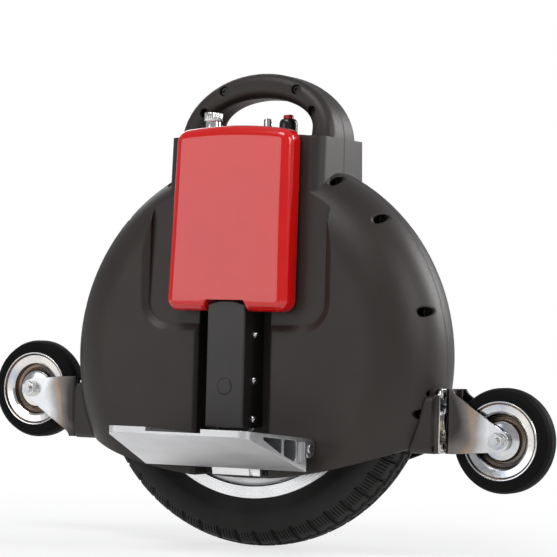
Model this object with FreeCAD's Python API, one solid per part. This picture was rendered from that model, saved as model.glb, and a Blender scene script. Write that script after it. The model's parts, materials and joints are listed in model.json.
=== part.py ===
"""Electric self-balancing unicycle with folding pedals and a swivel training caster at each end.

Millimetres. +Z is up and z = 0 is the floor under the tyre. +X is the front, the wheel turns about Y,
and the origin is on the floor under the wheel's centre. Near parts lie on the -Y side.
"""
import math
import os

import FreeCAD
import Part

V = FreeCAD.Vector
X_AXIS = V(1, 0, 0)
Y_AXIS = V(0, 1, 0)
Z_AXIS = V(0, 0, 1)
ORIGIN = V(0, 0, 0)

# ---- general fits ----
WALL = 3.0                  # moulded shell wall
RUNNING = 0.05              # radial clearance of a turning pin
GAP = 0.4                   # clearance between pieces that move past each other
BURY = 0.5                  # how far a boss is sunk into its wall so that the two join

# ---- road wheel ----
TYRE_R = 178.0
TYRE_HALF_W = 28.0
TYRE_SECTION_R = 24.0       # radial half-height of the tyre section
GROOVE_W = 3.0              # centre groove of the tread
GROOVE_D = 2.5
RIM_LIP_R = 132.0
RIM_HALF_W = 21.0
RIM_T = 3.0
RIM_WELL_R = 121.0
MOTOR_R = 116.0             # outer radius of the hub motor's magnet ring
MAGNET_T = 6.0
AIR_GAP = 0.8
STATOR_W = 24.0
COVER_T = 3.0
AXLE_R = 8.0
BEARING_R = 17.5
BEARING_W = 10.0
WHEEL_Z = TYRE_R

# ---- shell ----
DISC_R = 193.0
DISC_HALF_W = 60.0
DISC_EDGE_R = 55.0
DISC_Z = WHEEL_Z + 2.0
BOTTOM_Z = 66.0             # lowest point of the bowed lower edge
BOTTOM_RISE = 46.0          # rise of that edge at the ends of the shell
HEAD_HALF_L = 82.0
HEAD_TOP_Z = 387.0
HEAD_HALF_W = 47.0          # half-width of the head at its top
LEAN = 0.05                 # outward lean of the head's sides per millimetre down
HEAD_CORNER_R = 12.0
RECESS_HALF_L = 94.0        # recess in the disc's face that holds the leg pad
RECESS_Z = 210.0
RECESS_CORNER_R = 22.0
RECESS_FLARE = 7.0
SLOT_HALF_L = 38.0          # slot in the disc's face that holds the hanger arm
SLOT_HALF_W = 35.0

# ---- handle ----
HANDLE_TOP_Z = 450.0
HANDLE_GRIP_H = 24.0
HANDLE_HALF_W = 28.0        # half-width at the legs
HANDLE_TOP_HALF_W = 17.0
HOLE_HALF_L = 58.0
HOLE_SPRING_Z = 395.0       # height at which the finger hole's arch starts
HANDLE_ROUND_R = 9.0

# ---- screws ----
RIM_SCREW_R = 187.0
RIM_SCREW_ANGLES = (62.0, 44.0, 14.0, -15.0)
SCREW_R = 2.0
SCREW_HEAD_R = 3.8
SCREW_HEAD_H = 2.8
SCREW_SEAT_Y = 14.0
COUNTERBORE_R = 4.7
BOSS_R = 6.3
HANDLE_SCREWS = ((39.0, 433.0), (58.0, 412.0))

# ---- leg pad ----
PAD_TOP_Z = 391.0
PAD_BOTTOM_Z = 228.0
PAD_TOP_HALF_L = 61.0
PAD_BOTTOM_HALF_L = 65.5
PAD_TOP_Y = 71.0            # front face at the top
PAD_BOTTOM_Y = 84.0         # front face at the bottom
PAD_CORNER_R = 12.0
PAD_ROUND_R = 8.0
BACKING_T = 3.0
BACKING_INSET = 5.0

# ---- hanger arm ----
ARM_HALF_L = 20.0
ARM_WALL = 3.0
ARM_FRONT_Y = 73.0
ARM_TOP_Z = 232.0
ARM_CROWN = 4.0
COVER_BOTTOM_Z = 114.0
BAR_FRONT_Y = 58.0
BAR_TOP_Z = 226.0
FOOT_Z = 70.0
PLUG_R = 7.5
PLUG_Z = 152.0
ARM_SCREW_ZS = (201.0, 158.0, 122.0)
ARM_SCREW_Y = 52.0

# ---- pedal ----
PEDAL_X = 5.0               # the pedal and the arm's foot sit this far ahead of the axle
PIN_Y = 70.0
PIN_Z = 98.0
PIN_R = 4.5
KNUCKLE_R = 8.6
FOOT_HALF_L = 19.5
FOOT_H = 7.0
STOP_L = 11.0               # stop block beside the foot
PEDAL_ROOT_Y = 77.5
PEDAL_TIP_Y = 170.0
PEDAL_ROOT_HALF_L = 85.0
PEDAL_TIP_HALF_L = 72.0
PEDAL_ROOT_TOP_Z = 107.6
PEDAL_TIP_TOP_Z = 115.5
PEDAL_ROOT_BOTTOM_Z = 77.0
PEDAL_TIP_BOTTOM_Z = 109.5
PEDAL_CORNER_R = 9.0
PEDAL_WALL = 3.2
PEDAL_RIB_T = 3.0
GRIP_T = 1.4
GRIP_INSET = 8.0
GRIP_PITCH = 6.0
FOLD_UP = 80.0              # how far the pedal folds up
CHANNEL_HALF_L = 28.5       # channel across the pedal's top that takes the arm's cover when it is folded

# ---- deck ----
PANEL_T = 3.0
PANEL_HALF_L = 50.0
PANEL_HALF_W = 22.0
BUTTON_X = 22.0
BUTTON_R = 8.2
BUTTON_CAP_R = 5.0
BUTTON_TOP_Z = 408.0
BUTTON_TRAVEL = 3.0
LED_X = 0.0
LED_R = 4.2
LED_H = 17.0
SOCKET_X = -39.0
SOCKET_Y = 37.5
SOCKET_R = 6.5
SOCKET_H = 14.0
CHARGE_CAP_R = 8.8
CHARGE_CAP_TOP_Z = 411.0

# ---- training casters ----
CASTER_Z = 126.0            # height of the swivel axis
CASTER_TRAIL = 16.0
CASTER_REACH = 252.0        # wheel axle's distance from the middle plane
CASTER_R = 48.0
CASTER_TREAD_R = 36.2
CASTER_TREAD_HALF_W = 12.0
CASTER_HUB_HALF_W = 14.0
CASTER_AXLE_R = 4.0
CHEEK_T = 2.5
CROWN_R = 30.0
CROWN_T = 3.5
RACEWAY_T = 4.0
RACEWAY_R = 30.5
PLATE_HALF = 32.0
PLATE_T = 2.5
PLATE_BOLT = 25.0           # half the bolt spacing
PLATE_BOLT_R = 3.0
PLATE_BOLT_L = 20.0
KINGPIN_R = 6.0
SADDLE_MARGIN = 2.0
PLATE_X = DISC_R + PLATE_T - 1.0    # outer face of the fixing plate

# ---- inner parts ----
BATTERY_L = 70.0
BATTERY_H = 86.0
BATTERY_T = 23.0
BOARD_Z = 364.0
BOARD_L = 116.0
BOARD_W = 66.0
BOARD_T = 2.0


def box(x0, x1, y0, y1, z0, z1):
    """Block between two opposite corners."""
    return Part.makeBox(x1 - x0, y1 - y0, z1 - z0, V(x0, y0, z0))


def rod(radius, start, end):
    """Round bar from one point to another."""
    line = end - start
    return Part.makeCylinder(radius, line.Length, start, line)


def tube(radius, bore, start, end):
    return rod(radius, start, end).cut(rod(bore, start, end))


def hex_nut(across_flats, start, end):
    """Hexagonal prism from one point to another."""
    line = end - start
    side = V(0, 0, 1) if abs(line.z) < line.Length / 2 else V(1, 0, 0)
    radius = across_flats / math.sqrt(3)
    turn = FreeCAD.Rotation(line, 60)
    corners = [side * radius]
    for _ in range(5):
        corners.append(turn.multVec(corners[-1]))
    corners = [start + corner for corner in corners]
    return Part.Face(Part.makePolygon(corners + corners[:1])).extrude(line)


def prism(points, depth, flat="XZ"):
    """Closed outline of (a, b) points, extruded both ways from the middle plane."""
    corners = [V(a, -depth, b) if flat == "XZ" else V(-depth, a, b) for a, b in points]
    way = V(0, 2 * depth, 0) if flat == "XZ" else V(2 * depth, 0, 0)
    return Part.Face(Part.makePolygon(corners + corners[:1])).extrude(way)


def spun(points, centre, axis=Y_AXIS):
    """Closed outline of (along the axis, radius) points, turned about the axis."""
    out = Z_AXIS
    corners = [centre + axis * a + out * r for a, r in points]
    return Part.Face(Part.makePolygon(corners + corners[:1])).revolve(centre, axis, 360)


def rounded(shape, radius, chosen):
    """Fillet the edges that the test picks."""
    edges = [edge for edge in shape.Edges if chosen(edge)]
    return shape.makeFillet(radius, edges)


def upright(edge):
    ends = [vertex.Point for vertex in edge.Vertexes]
    if len(ends) != 2:
        return False
    return abs((ends[1] - ends[0]).normalize().z) > 0.9


def along(axis):
    """Test for straight edges that run along an axis."""
    def test(edge):
        ends = [vertex.Point for vertex in edge.Vertexes]
        return len(ends) == 2 and abs((ends[1] - ends[0]).normalize().dot(axis)) > 0.999
    return test


def mirror_y(shape):
    return shape.mirror(ORIGIN, Y_AXIS)


def half_width(z):
    """Half-width of the head and of the recess floor at a height."""
    return HEAD_HALF_W + (HEAD_TOP_Z - z) * LEAN


# ---------------------------------------------------------------- shell

def disc_form(inset):
    """Disc with broadly rounded edges that covers the wheel."""
    radius = DISC_R - inset
    half = DISC_HALF_W - inset
    edge = DISC_EDGE_R - inset
    centre = V(0, 0, DISC_Z)
    bend = edge * math.sin(math.radians(45))

    def at(y, r):
        return centre + V(0, y, r)
    near = Part.Arc(at(-half, radius - edge), at(edge - half - bend, radius - edge + bend),
                    at(edge - half, radius)).toShape()
    far = Part.Arc(at(half - edge, radius), at(half - edge + bend, radius - edge + bend),
                   at(half, radius - edge)).toShape()
    wire = Part.Wire([
        Part.makeLine(at(-half, 0), at(-half, radius - edge)), near,
        Part.makeLine(at(edge - half, radius), at(half - edge, radius)), far,
        Part.makeLine(at(half, radius - edge), at(half, 0)),
        Part.makeLine(at(half, 0), at(-half, 0))])
    return Part.Face(wire).revolve(centre, Y_AXIS, 360)


def recess_outline(grow, y):
    """Rounded outline of the pad's recess on a plane across Y."""
    half = RECESS_HALF_L + grow
    low = RECESS_Z - grow
    high = HEAD_TOP_Z + DISC_EDGE_R
    r = RECESS_CORNER_R + grow
    bend = r * (1 - math.sin(math.radians(45)))
    return Part.Wire([
        Part.makeLine(V(-half, y, high), V(-half, y, low + r)),
        Part.Arc(V(-half, y, low + r), V(-half + bend, y, low + bend), V(-half + r, y, low)).toShape(),
        Part.makeLine(V(-half + r, y, low), V(half - r, y, low)),
        Part.Arc(V(half - r, y, low), V(half - bend, y, low + bend), V(half, y, low + r)).toShape(),
        Part.makeLine(V(half, y, low + r), V(half, y, high)),
        Part.makeLine(V(half, y, high), V(-half, y, high))])


def near_recess(grow):
    """Space that the near leg pad's recess and arm slot take from the disc."""
    floor = half_width(RECESS_Z) - grow
    face = DISC_HALF_W
    flared = Part.makeLoft([recess_outline(grow, -floor), recess_outline(grow + RECESS_FLARE, -face)],
                           True, True)
    deep = Part.Face(recess_outline(grow, -face)).extrude(V(0, face, 0))
    lean_y = [(-face, RECESS_Z - DISC_EDGE_R), (-half_width(RECESS_Z - DISC_EDGE_R) + grow,
              RECESS_Z - DISC_EDGE_R), (-half_width(HEAD_TOP_Z + DISC_EDGE_R) + grow,
              HEAD_TOP_Z + DISC_EDGE_R), (-face, HEAD_TOP_Z + DISC_EDGE_R)]
    deep = deep.common(prism(lean_y, DISC_R, "YZ"))
    half = SLOT_HALF_L + grow
    inner = SLOT_HALF_W - grow
    flare = RECESS_FLARE / 2
    slot = [(-half, -inner), (-half, -face + flare), (-half - flare, -face), (half + flare, -face),
            (half, -face + flare), (half, -inner)]
    corners = [V(x, y, 0) for x, y in slot]
    slot = Part.Face(Part.makePolygon(corners + corners[:1])).extrude(V(0, 0, ARM_TOP_Z + GAP + grow))
    return flared.fuse(deep).fuse(slot)


def head_form(inset):
    """Head above the disc, with sides that lean outwards towards the floor."""
    top = HEAD_TOP_Z - inset
    low = RECESS_Z + DISC_EDGE_R
    points = [(half_width(top) - inset, top), (half_width(low) - inset, low),
              (inset - half_width(low), low), (inset - half_width(top), top)]
    head = prism(points, HEAD_HALF_L - inset, "YZ")
    return rounded(head, HEAD_CORNER_R - inset, upright)


def half_ellipse(half_l, height, base_z):
    """Upper half of an ellipse on the middle plane."""
    centre = V(0, 0, base_z)
    curve = Part.Ellipse(V(half_l, 0, base_z), V(0, 0, base_z + height), centre)
    return Part.ArcOfEllipse(curve, 0, math.pi).toShape()


def arch_form(half_l, height, base_z, low_z, depth):
    """Arch with upright feet, extruded both ways from the middle plane."""
    wire = Part.Wire([
        half_ellipse(half_l, height, base_z),
        Part.makeLine(V(-half_l, 0, base_z), V(-half_l, 0, low_z)),
        Part.makeLine(V(-half_l, 0, low_z), V(half_l, 0, low_z)),
        Part.makeLine(V(half_l, 0, low_z), V(half_l, 0, base_z))])
    face = Part.Face(wire)
    face.translate(V(0, -depth, 0))
    return face.extrude(V(0, 2 * depth, 0))


def handle_form():
    """Arched carrying handle: wide at its legs, narrow and round at its top."""
    foot_z = HEAD_TOP_Z - 2 * HANDLE_ROUND_R
    outer = arch_form(HEAD_HALF_L, HANDLE_TOP_Z - HEAD_TOP_Z, HEAD_TOP_Z, foot_z, HANDLE_HALF_W)
    hole_h = HANDLE_TOP_Z - HANDLE_GRIP_H - HOLE_SPRING_Z
    hole = arch_form(HOLE_HALF_L, hole_h, HOLE_SPRING_Z, 0, DISC_HALF_W)
    taper = [(HANDLE_HALF_W, foot_z), (HANDLE_HALF_W, HEAD_TOP_Z), (HANDLE_TOP_HALF_W, HANDLE_TOP_Z),
             (-HANDLE_TOP_HALF_W, HANDLE_TOP_Z), (-HANDLE_HALF_W, HEAD_TOP_Z), (-HANDLE_HALF_W, foot_z)]
    arch = outer.cut(hole).common(prism(taper, DISC_R, "YZ"))

    def long_edge(edge):
        middle = edge.valueAt((edge.FirstParameter + edge.LastParameter) / 2)
        off_plane = abs(middle.y) > HANDLE_TOP_HALF_W / 2
        flat_foot = abs(edge.BoundBox.ZMin - edge.BoundBox.ZMax) < 0.01
        crossing = edge.BoundBox.YLength > HANDLE_TOP_HALF_W
        return off_plane and not flat_foot and not crossing
    return rounded(arch, HANDLE_ROUND_R, long_edge)


def below_edge():
    """Everything below the shell's bowed lower edge."""
    ends = DISC_R + WALL
    centre = Part.Arc(V(-ends, -DISC_R, BOTTOM_Z + BOTTOM_RISE), V(0, -DISC_R, BOTTOM_Z),
                      V(ends, -DISC_R, BOTTOM_Z + BOTTOM_RISE)).toShape()
    low = -DISC_R
    wire = Part.Wire([
        centre, Part.makeLine(V(ends, -DISC_R, BOTTOM_Z + BOTTOM_RISE), V(ends, -DISC_R, low)),
        Part.makeLine(V(ends, -DISC_R, low), V(-ends, -DISC_R, low)),
        Part.makeLine(V(-ends, -DISC_R, low), V(-ends, -DISC_R, BOTTOM_Z + BOTTOM_RISE))])
    return Part.Face(wire).extrude(V(0, 2 * DISC_R, 0))


def rim_screw_places():
    """Centres of the screws around the shell's edge, at both ends."""
    places = []
    for angle in RIM_SCREW_ANGLES:
        x = RIM_SCREW_R * math.cos(math.radians(angle))
        z = DISC_Z + RIM_SCREW_R * math.sin(math.radians(angle))
        places += [(x, z), (-x, z)]
    return places


def handle_screw_places():
    return [(side * x, z) for x, z in HANDLE_SCREWS for side in (1, -1)]


def outer_form():
    disc = disc_form(0)
    recess = near_recess(0)
    body = disc.cut(recess).cut(mirror_y(recess))
    return body.fuse(head_form(0))


def inner_form():
    disc = disc_form(WALL)
    recess = near_recess(WALL)
    body = disc.cut(recess).cut(mirror_y(recess))
    return body.fuse(head_form(WALL))


def shell_halves():
    """The two moulded halves, parted on the middle plane."""
    shell = outer_form().cut(inner_form()).fuse(handle_form()).cut(below_edge())
    within = disc_form(WALL / 2)
    for x, z in rim_screw_places():
        boss = rod(BOSS_R, V(x, -SCREW_SEAT_Y - WALL, z), V(x, SCREW_SEAT_Y + WALL, z))
        shell = shell.fuse(boss.common(within))
    for x in (-1, 1):
        for y in (-1, 1):
            post = rod(BOSS_R / 2, V(x * (BOARD_L / 2 - BOSS_R), y * (BOARD_W / 2 - BOSS_R), BOARD_Z + BOARD_T),
                       V(x * (BOARD_L / 2 - BOSS_R), y * (BOARD_W / 2 - BOSS_R), HEAD_TOP_Z - WALL + BURY))
            shell = shell.fuse(post)
    for x, z in rim_screw_places() + handle_screw_places():
        seat = SCREW_SEAT_Y
        shell = shell.cut(rod(SCREW_R, V(x, -seat, z), V(x, seat - WALL, z)))
        shell = shell.cut(rod(COUNTERBORE_R, V(x, -DISC_HALF_W, z), V(x, -seat, z)))
    shell = shell.cut(rod(AXLE_R + 4 * WALL / 3, V(0, -DISC_HALF_W, WHEEL_Z), V(0, DISC_HALF_W, WHEEL_Z)))
    deck_holes = ((BUTTON_X, 0, BUTTON_R - WALL / 2), (LED_X, 0, LED_R - 1), (SOCKET_X, -SOCKET_Y, SOCKET_R))
    for x, y, r in deck_holes:
        shell = shell.cut(rod(r, V(x, y, HEAD_TOP_Z - 2 * WALL), V(x, y, HEAD_TOP_Z + WALL)))
    for y, z in plate_bolt_places():
        shell = shell.cut(rod(PLATE_BOLT_R, V(-PLATE_X, y, z), V(PLATE_X, y, z)))
    size = 2 * DISC_R
    near = shell.common(box(-size, size, -size, 0, 0, 2 * size))
    far = shell.common(box(-size, size, 0, size, 0, 2 * size))
    return near, far


def shell_screws():
    screws = []
    for x, z in rim_screw_places() + handle_screw_places():
        seat = -SCREW_SEAT_Y
        head = rod(SCREW_HEAD_R, V(x, seat - SCREW_HEAD_H, z), V(x, seat, z))
        drive = hex_nut(SCREW_HEAD_R, V(x, seat - SCREW_HEAD_H, z), V(x, seat - SCREW_HEAD_H / 2, z))
        shank = rod(SCREW_R, V(x, seat, z), V(x, SCREW_SEAT_Y - WALL, z))
        screws.append(head.fuse(shank).cut(drive))
    return Part.makeCompound(screws)


# ---------------------------------------------------------------- leg pads

def near_pad():
    """Tapered cushion that seats on the head's leaning side and on the recess floor."""
    def outline(y_top, y_bottom, grow):
        pts = [(-PAD_TOP_HALF_L - grow, -y_top, PAD_TOP_Z + grow), (PAD_TOP_HALF_L + grow, -y_top, PAD_TOP_Z + grow),
               (PAD_BOTTOM_HALF_L + grow, -y_bottom, PAD_BOTTOM_Z - grow),
               (-PAD_BOTTOM_HALF_L - grow, -y_bottom, PAD_BOTTOM_Z - grow)]
        corners = [V(*p) for p in pts]
        return Part.makePolygon(corners + corners[:1])
    back = BACKING_T
    pad = Part.makeLoft([outline(half_width(PAD_TOP_Z) + back, half_width(PAD_BOTTOM_Z) + back, 0),
                         outline(PAD_TOP_Y, PAD_BOTTOM_Y, 0)], True, True)

    def corner(edge):
        ends = [vertex.Point for vertex in edge.Vertexes]
        return abs((ends[1] - ends[0]).y) > (PAD_TOP_Y - HEAD_HALF_W) / 2

    def front(edge):
        box_ = edge.BoundBox
        lean = (box_.Center.z - PAD_TOP_Z) / (PAD_BOTTOM_Z - PAD_TOP_Z)
        face_y = PAD_TOP_Y + (PAD_BOTTOM_Y - PAD_TOP_Y) * lean
        return abs(box_.Center.y + face_y) < 1.0
    pad = rounded(pad, PAD_CORNER_R, corner)
    pad = rounded(pad, PAD_ROUND_R, front)
    notch = ARM_HALF_L + GAP
    return pad.cut(box(-notch, notch, -PAD_BOTTOM_Y - PAD_ROUND_R, 0, 0, ARM_TOP_Z + GAP))


def near_pad_backing():
    """Moulded plate that carries the cushion, with two studs into the shell."""
    low = ARM_TOP_Z + GAP
    high = PAD_TOP_Z - BACKING_INSET
    half = PAD_TOP_HALF_L - BACKING_INSET
    points = [(-half_width(low), low), (-half_width(high), high), (-half_width(high) - BACKING_T, high),
              (-half_width(low) - BACKING_T, low)]
    return prism(points, half, "YZ")


# ---------------------------------------------------------------- hanger arms

def near_hanger_arm():
    """Aluminium bar beside the wheel: it holds the axle, and its foot holds the pedal's pin."""
    half = ARM_HALF_L - ARM_WALL
    back = -SLOT_HALF_W
    low = COVER_BOTTOM_Z - GAP
    bar = box(-half, half, -BAR_FRONT_Y, back, low, BAR_TOP_Z)
    left = PEDAL_X - FOOT_HALF_L
    right = PEDAL_X + FOOT_HALF_L
    points = [(back, low), (-BAR_FRONT_Y, low), (-PIN_Y, PIN_Z + KNUCKLE_R), (-PIN_Y, PIN_Z - KNUCKLE_R),
              (-PIN_Y + KNUCKLE_R / 2, FOOT_Z), (back, FOOT_Z)]
    lug = prism(points, FOOT_HALF_L, "YZ")
    lug.translate(V(PEDAL_X, 0, 0))
    nose = rod(KNUCKLE_R, V(left, -PIN_Y, PIN_Z), V(right, -PIN_Y, PIN_Z))
    front = -PIN_Y + KNUCKLE_R / 2
    stop_end = right + GAP + STOP_L
    stop_top = FOOT_Z + FOOT_H * 0.9
    corners = [V(right + GAP + STOP_L / 3, front, FOOT_Z), V(stop_end, front, FOOT_Z),
               V(stop_end, front, stop_top), V(right + GAP, front, stop_top)]
    stop = Part.Face(Part.makePolygon(corners + corners[:1])).extrude(V(0, FOOT_H, 0))
    web = box(PEDAL_X, stop_end, front + FOOT_H - BURY, front + FOOT_H + ARM_WALL, FOOT_Z, stop_top)
    bar = bar.fuse([lug, nose, stop, web]).removeSplitter()
    bar = bar.cut(rod(PIN_R + RUNNING, V(left, -PIN_Y, PIN_Z), V(right, -PIN_Y, PIN_Z)))
    bar = bar.cut(rod(AXLE_R, V(0, -BAR_FRONT_Y, WHEEL_Z), V(0, back, WHEEL_Z)))
    window = box(-half + ARM_WALL, half - ARM_WALL, -BAR_FRONT_Y, -BAR_FRONT_Y + PLUG_R,
                 COVER_BOTTOM_Z + 2 * KNUCKLE_R, WHEEL_Z - 2 * AXLE_R)
    return bar.cut(window)


def arm_cover_outline(half, top, y):
    crown = ARM_CROWN
    return Part.Wire([
        Part.makeLine(V(-half, y, top - crown), V(-half, y, COVER_BOTTOM_Z)),
        Part.makeLine(V(-half, y, COVER_BOTTOM_Z), V(half, y, COVER_BOTTOM_Z)),
        Part.makeLine(V(half, y, COVER_BOTTOM_Z), V(half, y, top - crown)),
        Part.Arc(V(half, y, top - crown), V(0, y, top), V(-half, y, top - crown)).toShape()])


def near_arm_cover():
    """Channel-shaped moulded cover over the bar and the axle nut, with a crowned top."""
    outer = Part.Face(arm_cover_outline(ARM_HALF_L, ARM_TOP_Z, -ARM_FRONT_Y))
    outer = outer.extrude(V(0, ARM_FRONT_Y - SLOT_HALF_W, 0))
    outer = rounded(outer, ARM_WALL / 2, lambda edge: edge.BoundBox.YMax < -ARM_FRONT_Y + 0.1)
    inner = ARM_HALF_L - ARM_WALL
    cover = outer.cut(box(-inner, inner, -ARM_FRONT_Y + ARM_WALL, 0, 0, BAR_TOP_Z))
    return cover.cut(rod(PLUG_R, V(0, -ARM_FRONT_Y, PLUG_Z), V(0, -ARM_FRONT_Y + ARM_WALL / 2, PLUG_Z)))


def near_arm_plug():
    plug = rod(PLUG_R, V(0, -ARM_FRONT_Y - ARM_WALL / 4, PLUG_Z), V(0, -ARM_FRONT_Y + ARM_WALL / 2, PLUG_Z))
    return rounded(plug, ARM_WALL / 5, lambda edge: edge.BoundBox.YMax < -ARM_FRONT_Y)


def near_arm_screws():
    """Domed screws through both side walls of the cover into the bar."""
    screws = []
    for z in ARM_SCREW_ZS:
        for side in (-1, 1):
            seat = V(side * ARM_HALF_L, -ARM_SCREW_Y, z)
            high = SCREW_HEAD_H
            dome = [(0, 0), (0, SCREW_HEAD_R), (high * 0.5, SCREW_HEAD_R * 0.85), (high * 0.9, SCREW_HEAD_R * 0.5),
                    (high, 0)]
            head = spun(dome, seat, X_AXIS * side)
            shank = rod(SCREW_R, seat, seat - X_AXIS * side * (ARM_WALL + BURY))
            screws.append(head.fuse(shank))
    return Part.makeCompound(screws)


def screw_holes(shape, inset):
    """Cut the arm screws' holes, each a set length from the cover's outer face."""
    for z in ARM_SCREW_ZS:
        for side in (-1, 1):
            seat = V(side * ARM_HALF_L, -ARM_SCREW_Y, z)
            shape = shape.cut(rod(SCREW_R, seat, seat - X_AXIS * side * inset))
    return shape


# ---------------------------------------------------------------- pedals

def pedal_top(y):
    """Height of the pedal's top at a distance from the middle plane."""
    slope = (PEDAL_TIP_TOP_Z - PEDAL_ROOT_TOP_Z) / (PEDAL_TIP_Y - PEDAL_ROOT_Y)
    return PEDAL_ROOT_TOP_Z + (y - PEDAL_ROOT_Y) * slope


def pedal_under(y):
    """Height of the pedal's sloping underside at a distance from the middle plane."""
    slope = (PEDAL_TIP_BOTTOM_Z - PEDAL_ROOT_BOTTOM_Z) / (PEDAL_TIP_Y - PEDAL_ROOT_Y)
    return PEDAL_ROOT_BOTTOM_Z + (y - PEDAL_ROOT_Y) * slope


def pedal_outline():
    """Plan of the pedal: ends that close in towards a tip with rounded corners."""
    root = PEDAL_ROOT_HALF_L
    tip = PEDAL_TIP_HALF_L
    shoulder_y = PIN_Y - KNUCKLE_R
    corners = [V(-root, -shoulder_y, 0), V(root, -shoulder_y, 0), V(root, -PEDAL_ROOT_Y, 0),
               V(tip, -PEDAL_TIP_Y, 0), V(-tip, -PEDAL_TIP_Y, 0), V(-root, -PEDAL_ROOT_Y, 0)]
    plan = Part.Face(Part.makePolygon(corners + corners[:1])).extrude(V(0, 0, HEAD_TOP_Z))
    return rounded(plan, PEDAL_CORNER_R, lambda edge: upright(edge) and edge.BoundBox.YMax < -PEDAL_TIP_Y + 0.1)


def pedal_channels():
    """Hollows that run through the pedal from end to end: a pair of closed ones and a shallow root panel."""
    run = PEDAL_TIP_Y - PEDAL_ROOT_Y
    wall = PEDAL_WALL
    rib = PEDAL_RIB_T
    first = PIN_Y + KNUCKLE_R + GAP + run * 0.16
    second = first + run * 0.2
    tip = PEDAL_ROOT_Y + run * 0.78
    oblong = [(-first, pedal_under(first) + wall), (-first, pedal_top(first) - wall),
              (-second, pedal_top(second) - wall), (-second, pedal_under(second) + wall)]
    start = second + rib
    wedge = [(-start, pedal_under(start) + wall), (-start, pedal_top(start) - wall),
             (-tip, pedal_top(tip) - wall)]
    reach = PEDAL_ROOT_HALF_L
    oblong = rounded(prism(oblong, reach, "YZ"), 3.5, along(X_AXIS))
    wedge = rounded(prism(wedge, reach, "YZ"), 1.5, along(X_AXIS))
    shallow = []
    for side in (-1, 1):
        y = first - rib
        panel = box(-rib, rib, -y, -PEDAL_ROOT_Y - rib, pedal_under(y) + wall, pedal_top(PEDAL_ROOT_Y) - wall)
        panel.translate(V(side * (reach - rib / 2), 0, 0))
        shallow.append(panel)
    return [oblong, wedge] + shallow


def arm_clearance():
    """Space that the arm's cover takes from the pedal's root when the pedal is folded up."""
    half = CHANNEL_HALF_L
    swing = math.radians(FOLD_UP)
    reach = PEDAL_TIP_Y - PIN_Y
    front = ARM_FRONT_Y - PIN_Y + 2 * GAP

    def line(y):
        return PIN_Z + (y * math.cos(swing) - front) / math.sin(swing)
    points = [(-PIN_Y, line(0)), (-PIN_Y - reach, line(reach)), (-PIN_Y - reach, HEAD_TOP_Z),
              (0, HEAD_TOP_Z), (0, line(0))]
    barrel_end = box(-half, half, -PIN_Y - KNUCKLE_R - GAP, 0, PIN_Z - KNUCKLE_R - GAP, HEAD_TOP_Z)
    space = prism(points, half, "YZ").fuse(barrel_end)
    space.translate(V(PEDAL_X / 2, 0, 0))
    return space


def near_pedal():
    """Extruded pedal with a hinge barrel, hollows seen at its ends and a channel for the arm's cover."""
    side = [(-PEDAL_ROOT_Y, PEDAL_ROOT_BOTTOM_Z), (-PEDAL_ROOT_Y, PIN_Z), (-PIN_Y, PIN_Z),
            (-PIN_Y, PIN_Z + KNUCKLE_R), (-PEDAL_ROOT_Y, PEDAL_ROOT_TOP_Z), (-PEDAL_TIP_Y, PEDAL_TIP_TOP_Z),
            (-PEDAL_TIP_Y, PEDAL_TIP_BOTTOM_Z)]
    block = prism(side, PEDAL_ROOT_HALF_L, "YZ")
    barrel = rod(KNUCKLE_R, V(-PEDAL_ROOT_HALF_L, -PIN_Y, PIN_Z), V(PEDAL_ROOT_HALF_L, -PIN_Y, PIN_Z))
    block = block.fuse(barrel).common(pedal_outline())
    for channel in pedal_channels():
        block = block.cut(channel)
    block = block.cut(rod(PIN_R, V(-PEDAL_ROOT_HALF_L, -PIN_Y, PIN_Z), V(PEDAL_ROOT_HALF_L, -PIN_Y, PIN_Z)))
    block = block.cut(grip_sheet())
    block.translate(V(PEDAL_X, 0, 0))
    return block.cut(arm_clearance())


def grip_sheet():
    """Flat sheet let into the top of the pedal."""
    root = PEDAL_ROOT_Y + GRIP_INSET
    tip = PEDAL_TIP_Y - GRIP_INSET
    points = [(-root, pedal_top(root) - GRIP_T), (-root, pedal_top(root)), (-tip, pedal_top(tip)),
              (-tip, pedal_top(tip) - GRIP_T)]
    return prism(points, PEDAL_TIP_HALF_L - GRIP_INSET / 2, "YZ")


def near_pedal_grip():
    """Grip sheet with grooves along the pedal."""
    sheet = grip_sheet()
    root = PEDAL_ROOT_Y + GRIP_INSET
    count = int((PEDAL_TIP_Y - GRIP_INSET - root) / GRIP_PITCH)
    for i in range(count):
        y = root + GRIP_PITCH * (i + 0.5)
        sheet = sheet.cut(box(-PEDAL_ROOT_HALF_L, PEDAL_ROOT_HALF_L, -y - GRIP_T, -y,
                              pedal_top(y) - GRIP_T / 2, pedal_top(y) + GRIP_T))
    sheet.translate(V(PEDAL_X, 0, 0))
    return sheet.cut(arm_clearance())


def near_pedal_pin():
    end = PEDAL_ROOT_HALF_L + 1
    return rod(PIN_R, V(PEDAL_X - end, -PIN_Y, PIN_Z), V(PEDAL_X + end, -PIN_Y, PIN_Z))


# ---------------------------------------------------------------- wheel

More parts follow.
